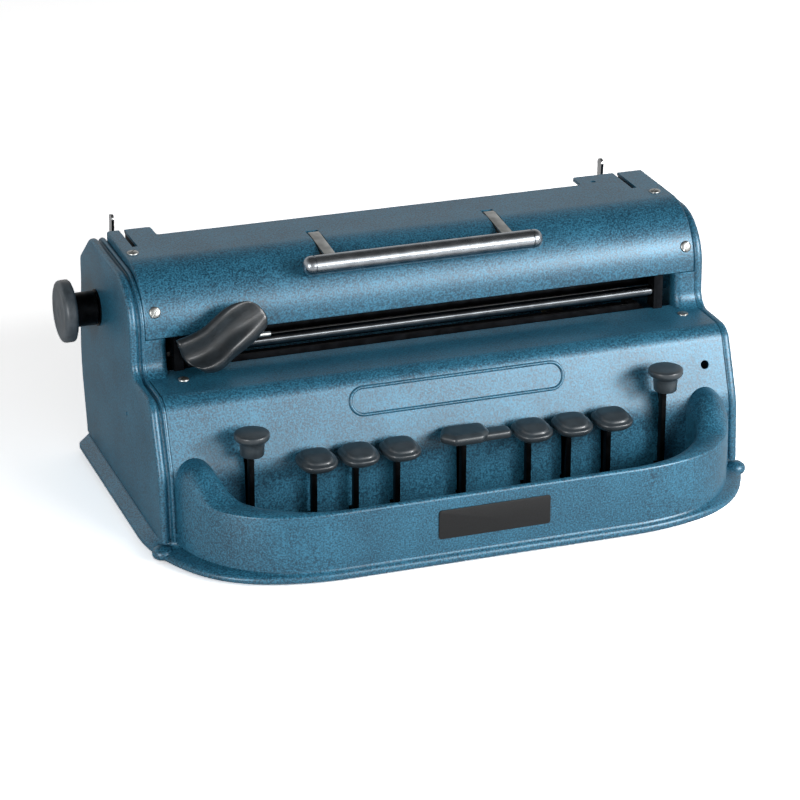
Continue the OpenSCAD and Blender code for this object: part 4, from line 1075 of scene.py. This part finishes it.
ROUND_CAP = [(0, 0), (0, 5.4), (0.25, 6.1), (1.0, 6.7), (5.0, 6.9), (7.8, 7.2), (8.6, 7.7), (9.7, 9.1),
             (10.4, 9.7), (11.1, 10), (13.0, 10), (13.6, 9.75), (13.9, 9.1), (14.05, 8.0), (14.15, 5),
             (14.2, 0)]
for key in ("line", "backspace"):
    low, high = size_of(key + "_key")
    foot_at = ((low[0] + high[0]) / 2, (low[1] + high[1]) / 2, low[2])
    piece_from(key + "_key_turned", [turned(ROUND_CAP, foot_at, 2, 48)], cap_resin, "key_" + key,
               [key + "_key"], 50)
print("caps:", len(KEYS))

# %% [markdown]
# ## Carriage finger lever
#
# The lever is a dark saddle: two long ridges with a valley between them, open at its lower end, where
# the moulding's thickness shows. Two edge lines give its outline as seen from the front. One grid of
# points is stretched between them and pushed towards the viewer by the ridges' profile, and a second
# one lies behind it. Strips along the four edges close the two to a shell, which keeps the mouth flat
# where a cap of one large face would pinch, and a level of subdivision rounds it.

# %% Carriage finger lever
LEVER_AXIS = (-131.5, -4.8, 106)
LEVER_AT = Vector(LEVER_AXIS)
# The two edge lines from the mouth to the far end, measured from the lever's axis
UPPER = [(-20.0, -7.0, 6.2), (-12.0, -6.6, 8.2), (-4.0, -6.4, 11.4), (2.5, -6.2, 16.6),
         (8.5, -6.2, 21.0), (15.0, -6.0, 23.6), (21.5, -5.8, 24.0)]
LOWER = [(-4.5, -12.5, -13.6), (1.5, -12.0, -14.2), (7.0, -11.2, -12.4), (12.5, -10.2, -8.0),
         (19.0, -9.0, -4.4), (27.0, -7.5, 0.4), (34.0, -6.0, 7.4)]
# Share of the way from the upper edge to the lower one, and height of the surface there
RIDGES = [(0.0, 0.0), (0.03, 1.6), (0.08, 2.9), (0.14, 3.1), (0.21, 2.2), (0.3, 0.5), (0.4, -0.8),
          (0.5, -0.9), (0.6, 0.4), (0.69, 3.0), (0.76, 4.9), (0.83, 5.2), (0.9, 4.1), (0.96, 2.1),
          (1.0, 0.0)]
LEVER_ROWS = 18
TO_VIEWER = Vector((0.05, -0.9, 0.43))
BACK_RELIEF = 0.8
MOUTH_BOW, TIP_BOW = Vector((-2.9, -0.6, -2.2)), Vector((3.4, 0.8, 2.6))
WALL_OF_LEVER = 2.4


def along(line, t):
    """A point on a smooth line through the given points."""
    place = t * (len(line) - 1)
    k = min(int(place), len(line) - 2)
    f = place - k
    p0, p1, p2, p3 = (Vector(line[max(0, min(len(line) - 1, k + d))]) for d in (-1, 0, 1, 2))
    return 0.5 * (2 * p1 + (p2 - p0) * f + (2 * p0 - 5 * p1 + 4 * p2 - p3) * f * f
                  + (3 * p1 - p0 - 3 * p2 + p3) * f ** 3)


def lever_grid(lift):
    """Rows of points from the mouth to the far end. lift moves the surface towards the viewer."""
    rows = []
    relief = BACK_RELIEF if lift else 1.0
    for i in range(LEVER_ROWS + 1):
        s = i / LEVER_ROWS
        a, b = along(UPPER, s), along(LOWER, s)
        bow = MOUTH_BOW * (1 - ease(s, 0, 0.45)) + TIP_BOW * ease(s, 0.55, 1)
        fade = 1 - 0.75 * ease(s, 0.45, 1.0)
        row = []
        for t, h in RIDGES:
            out = TO_VIEWER * (h * fade * relief + lift)
            row.append(tuple(LEVER_AT + a + (b - a) * t + out + bow * 4 * t * (1 - t)))
        rows.append(row)
    return rows


def walled(front, back):
    """A closed shell between two grids of points: both faces, and a strip along each edge."""
    high, wide = len(front), len(front[0])
    points = [p for row in front + back for p in row]
    far = high * wide
    faces = []
    for i in range(high - 1):
        for k in range(wide - 1):
            a = i * wide + k
            b = far + a
            faces += [(a, a + 1, a + wide + 1, a + wide), (b, b + wide, b + wide + 1, b + 1)]
    rim = ([(0, k) for k in range(wide)] + [(i, wide - 1) for i in range(1, high)]
           + [(high - 1, k) for k in range(wide - 2, -1, -1)]
           + [(i, 0) for i in range(high - 2, 0, -1)])
    for (i, k), (m, n) in zip(rim, rim[1:] + rim[:1]):
        a, b = i * wide + k, m * wide + n
        faces.append((a, b, far + b, far + a))
    return points, faces


shell = walled(lever_grid(0.0), lever_grid(-WALL_OF_LEVER))
saddle = smooth_mesh("head_lever_saddle", [shell], lever_resin, "head_lever_body", ["head_lever"])
ARM_X = 14.6
arms = []
for s in (-1, 1):
    x = LEVER_AXIS[0] + s * ARM_X
    arms.append(slab((x - 1.7, -11.0, 103.6), (x + 1.7, -4.8, 108.4)))
    arms.append(turned(bar(s * ARM_X - 1.9, s * ARM_X + 1.9, 2.7), LEVER_AXIS, 0, 24))
piece_from("head_lever_arms", arms, blackened, "head_lever_body", smooth=40)
LEVER_PIN = [(-16.8, 0), (-16.8, 1.2), (-16.5, 1.45), (36.8, 1.45), (37.3, 1.1), (37.5, 0)]
piece_from("head_lever_pin", [turned(LEVER_PIN, LEVER_AXIS, 0, 20)], zinc, "head_lever_body",
           smooth=40)
print("finger lever:", len(saddle.data.polygons), "faces")

# %% [markdown]
# ## Knobs
#
# The two knobs turn the roller. Each is a moulded rim on a dark steel hub, and both are turned parts.

# %% Knobs
KNOB_HUB = [(176.3, 0), (176.3, 9.5), (176.7, 10), (190.4, 10), (190.4, 0)]
KNOB_RIM = [(190.0, 0), (190.0, 10.6), (190.0, 16.6), (190.4, 17.6), (191.2, 18.2), (192.0, 18.25),
            (195.0, 18.25), (196.2, 18.0), (197.1, 17.2), (197.6, 15.9), (197.65, 14.0), (197.3, 12.6),
            (197.2, 6.4), (197.5, 5.2), (197.55, 3.2), (197.4, 2.8), (197.4, 0)]
for side, sign in (("left", -1), ("right", 1)):
    rim = turned([(sign * x, r) for x, r in KNOB_RIM], ROLLER_AT, 0, 72)
    hub = turned([(sign * x, r) for x, r in KNOB_HUB], ROLLER_AT, 0, 48)
    piece_from(f"knob_{side}_rim", [rim], knob_resin, "paper_feed",
               [f"knob_{side}"], 40)
    piece_from(f"knob_{side}_hub", [hub], blackened, "paper_feed", smooth=40)
print("knobs:", 2 * max(r for _, r in KNOB_RIM), "mm across")

# %% [markdown]
# ## Grip and straps
#
# The carrying grip is a turned bar with domed ends, a fine ring groove near each and a flat along its
# underside. Two flat straps with broken edges hold it, and lie in slots in the cover when it is
# folded down.

# %% Grip and straps
grip_low, grip_high = size_of("carry_handle")
GRIP_HALF, GRIP_R = grip_high[0], 5.6
DOME, GROOVE = 5, 0.5
# A domed end, then the ring groove: place along the grip from its end, and radius
dome = [(DOME * (1 - math.cos(t)), GRIP_R * math.sin(t))
        for t in map(math.radians, (12, 26, 42, 58, 74))]
half_grip = [(0, 0)] + dome + [(5.2, GRIP_R), (6.2, GRIP_R), (6.4, GRIP_R - GROOVE),
                               (6.9, GRIP_R - GROOVE), (7.1, GRIP_R)]
GRIP = [(step - GRIP_HALF, r) for step, r in half_grip]
GRIP += [(-step, r) for step, r in reversed(GRIP)]
grip_mesh = mesh_of("grip", [turned(GRIP, (0, 1.5, 141.4), 0, 48)])
grip_mesh = cut(grip_mesh, [slab((-60, -1.2, 133), (60, 4.2, 137.6))])
finish_piece("grip_turned", grip_mesh, satin_chrome, "handle", ["carry_handle"], 40)

# A strap's section from the grip to the eye round its pin, and the pin's place
STRAP = [(3.0, 142.1), (36, 145.3), (36, 142.5), (36.9, 140.2), (39, 139.2), (41.2, 140.1),
         (42, 142), (41.5, 145.6), (39.5, 147.0), (37, 147.05), (3.0, 143.7)]
STRAP_PIN = (0, 39, 142.5)
straps = []
for strap_x in (-STRAP_X, STRAP_X):
    rings = []
    for x, depth in ((-3.25, 0.15), (-2.95, 0), (2.95, 0), (3.25, 0.15)):
        line = inset([(y, z, 0) for y, z in STRAP], depth)
        rings.append([(strap_x + x, y, z) for y, z, _ in line])
    straps.append(capped(rings))
    straps.append(turned(bar(strap_x - 6.2, strap_x + 6.2, 1.5), STRAP_PIN, 0, 16))
piece_from("grip_straps", straps, zinc, "handle", smooth=30)
print("grip:", [round(v, 1) for v in grip_high - grip_low], "mm with its straps")

# %% [markdown]
# ## Steel parts that keep their CAD shape
#
# Rails, levers, bars and brackets are plain machined or punched steel, and their CAD shapes are right.
# Where they show, a copy gets slightly broken edges, as tumbled steel parts have, and a key lever's
# arm thins towards its stem, so that the front wall hides the corner between them. The rest only get
# their finish; the rear rail, the rack, the emboss bars and the brackets inside the housing get a
# near-black one that is partly painted shade.

# %% Steel and inner parts
ARM_TOP, THIN_ARM = 23, 15.4


def thin_arm(vertex):
    """Lowers the corner where a key lever's arm meets its stem."""
    place = vertex.co / MM
    if place.y < -50 and abs(place.z - ARM_TOP) < 0.1:
        vertex.co.z = THIN_ARM * MM


for node in LEVERS.values():
    dress(node, blackened, 0.35, reshape=thin_arm)
half = size_of("front_rail")[1][0]
RAIL = [(-half, 0), (-half, 3.0), (-half + 0.5, 3.5), (half - 0.5, 3.5), (half, 3.0), (half, 0)]
piece_from("front_rail_bar", [turned(RAIL, (0, 5, 98.5), 0, 48)], dark_reflection_steel, "housing",
           ["front_rail"], 40)
dress("release_levers", chrome, 0.25)
dress("embossing_head", chrome, 0.4)
dress("carriage_frame", phosphate_and_inner_shade, 0.3)

plain = {
    zinc: ["bottom_plate", "key_shaft", "margin_rail", "embossing_pins", "margin_stop_left",
           "margin_stop_right"],
    dull_steel: ["pressure_shaft", "ratchet_wheel", "line_pawl"],
    brass: ["bell", "mainspring_drum"],
    # The parts inside the housing are near-black, partly as painted shade.
    phosphate_and_inner_shade: ["rail_brackets", "inner_brackets", "rear_rail", "escapement_rack",
                 *(f"emboss_bar_{k}" for k in range(1, 7))],
    blackened: ["roller_bushes"],
    rubber: ["paper_roller"],
}
for material, nodes in plain.items():
    for node in nodes:
        mesh = frame["nodes"][node].data
        mesh.materials.clear()
        mesh.materials.append(material)
print("plain nodes:", sum(len(nodes) for nodes in plain.values()))

# %% [markdown]
# ## Light
#
# The photograph was lit from the front right, by a lamp that is low and not very large: the caps
# throw their shadows to the left, onto the panel. A wider, weaker lamp beside it gives the enamel its
# broad sheen, and one on the left fills the side plate. The world is bright round the horizon and dim
# overhead, like a studio with pale walls. Floor and world are white to the camera, a pale grey to
# metal and gloss, and darker to scattered light, so that they don't wash out the colours.

# %% Light
scene = bpy.context.scene
scene.view_settings.view_transform = "Standard"
world = bpy.data.worlds.new("studio")
scene.world = world
world.use_nodes = True
sky = world.node_tree.nodes["Background"]


def by_ray(tree, seen, mirrored, scattered):
    """One value for what the camera sees, one for mirrors and glass, and one for scattered light."""
    rays = add(tree, "ShaderNodeLightPath").outputs
    bent = add(tree, "ShaderNodeMath", {0: rays["Is Glossy Ray"], 1: rays["Is Transmission Ray"]},
               operation="ADD", use_clamp=True)
    some = add(tree, "ShaderNodeMath", {0: bent.outputs["Value"], 1: mirrored - scattered,
                                        2: scattered}, operation="MULTIPLY_ADD")
    all_rays = add(tree, "ShaderNodeMath", {0: rays["Is Camera Ray"], 1: seen - scattered,
                                            2: some.outputs["Value"]}, operation="MULTIPLY_ADD")
    return all_rays.outputs["Value"]


ways = add(world.node_tree, "ShaderNodeTexCoord").outputs["Generated"]
height = add(world.node_tree, "ShaderNodeSeparateXYZ", {"Vector": ways}).outputs["Z"]
walls = add(world.node_tree, "ShaderNodeMapRange", {"Value": height, "From Min": 0.38,
                                                    "From Max": 0.8, "To Min": 1.0, "To Max": 0.1})
share = by_ray(world.node_tree, 1.0, 0.8, 0.55)
glow = add(world.node_tree, "ShaderNodeMath", {0: walls.outputs["Result"], 1: share},
           operation="MULTIPLY")
sky.inputs["Color"].default_value = (1, 1, 1, 1)
world.node_tree.links.new(glow.outputs["Value"], sky.inputs["Strength"])


MACHINE_MIDDLE = Vector((0, 0, 0.07))


def soft_box(name, azimuth, elevation, distance, width, height, watts):
    """A rectangular lamp that looks at the machine's middle. Angles in degrees, sizes in metres."""
    data = bpy.data.lights.new(name, "AREA")
    data.shape = "RECTANGLE"
    data.size = width
    data.size_y = height
    data.energy = watts
    lamp = bpy.data.objects.new(name, data)
    a, e = math.radians(azimuth), math.radians(elevation)
    away = Vector((math.sin(a) * math.cos(e), -math.cos(a) * math.cos(e), math.sin(e)))
    lamp.location = MACHINE_MIDDLE + away * distance
    lamp.rotation_mode = "QUATERNION"
    lamp.rotation_quaternion = (-away).to_track_quat("-Z", "Y")
    scene.collection.objects.link(lamp)
    return lamp


soft_box("key_light", 43, 23, 1.25, 0.34, 0.34, 11.5)
soft_box("sheen_light", 25, 17, 1.4, 0.8, 0.36, 7)
soft_box("left_fill", -52, 14, 1.6, 0.5, 0.5, 11)
print("lamps:", len(bpy.data.lights))

# %% [markdown]
# ## Floor
#
# The machine stands on a wide sheet of studio paper, matt and without gloss, which keeps its shadow.

# %% Floor
floor_mesh = bpy.data.meshes.new("floor")
build = bmesh.new()
bmesh.ops.create_grid(build, x_segments=1, y_segments=1, size=6.0)
build.to_mesh(floor_mesh)
build.free()
floor = bpy.data.objects.new("floor", floor_mesh)
scene.collection.objects.link(floor)
paper_white, tree, shader, _ = start_material("studio_paper", Roughness=1.0, Specular_IOR_Level=0.0)
tree.links.new(by_ray(tree, 2.8, 0.85, 0.65), shader.inputs["Base Color"])
floor_mesh.materials.append(paper_white)
print("floor:", floor_mesh.polygons[0].area, "square metres")
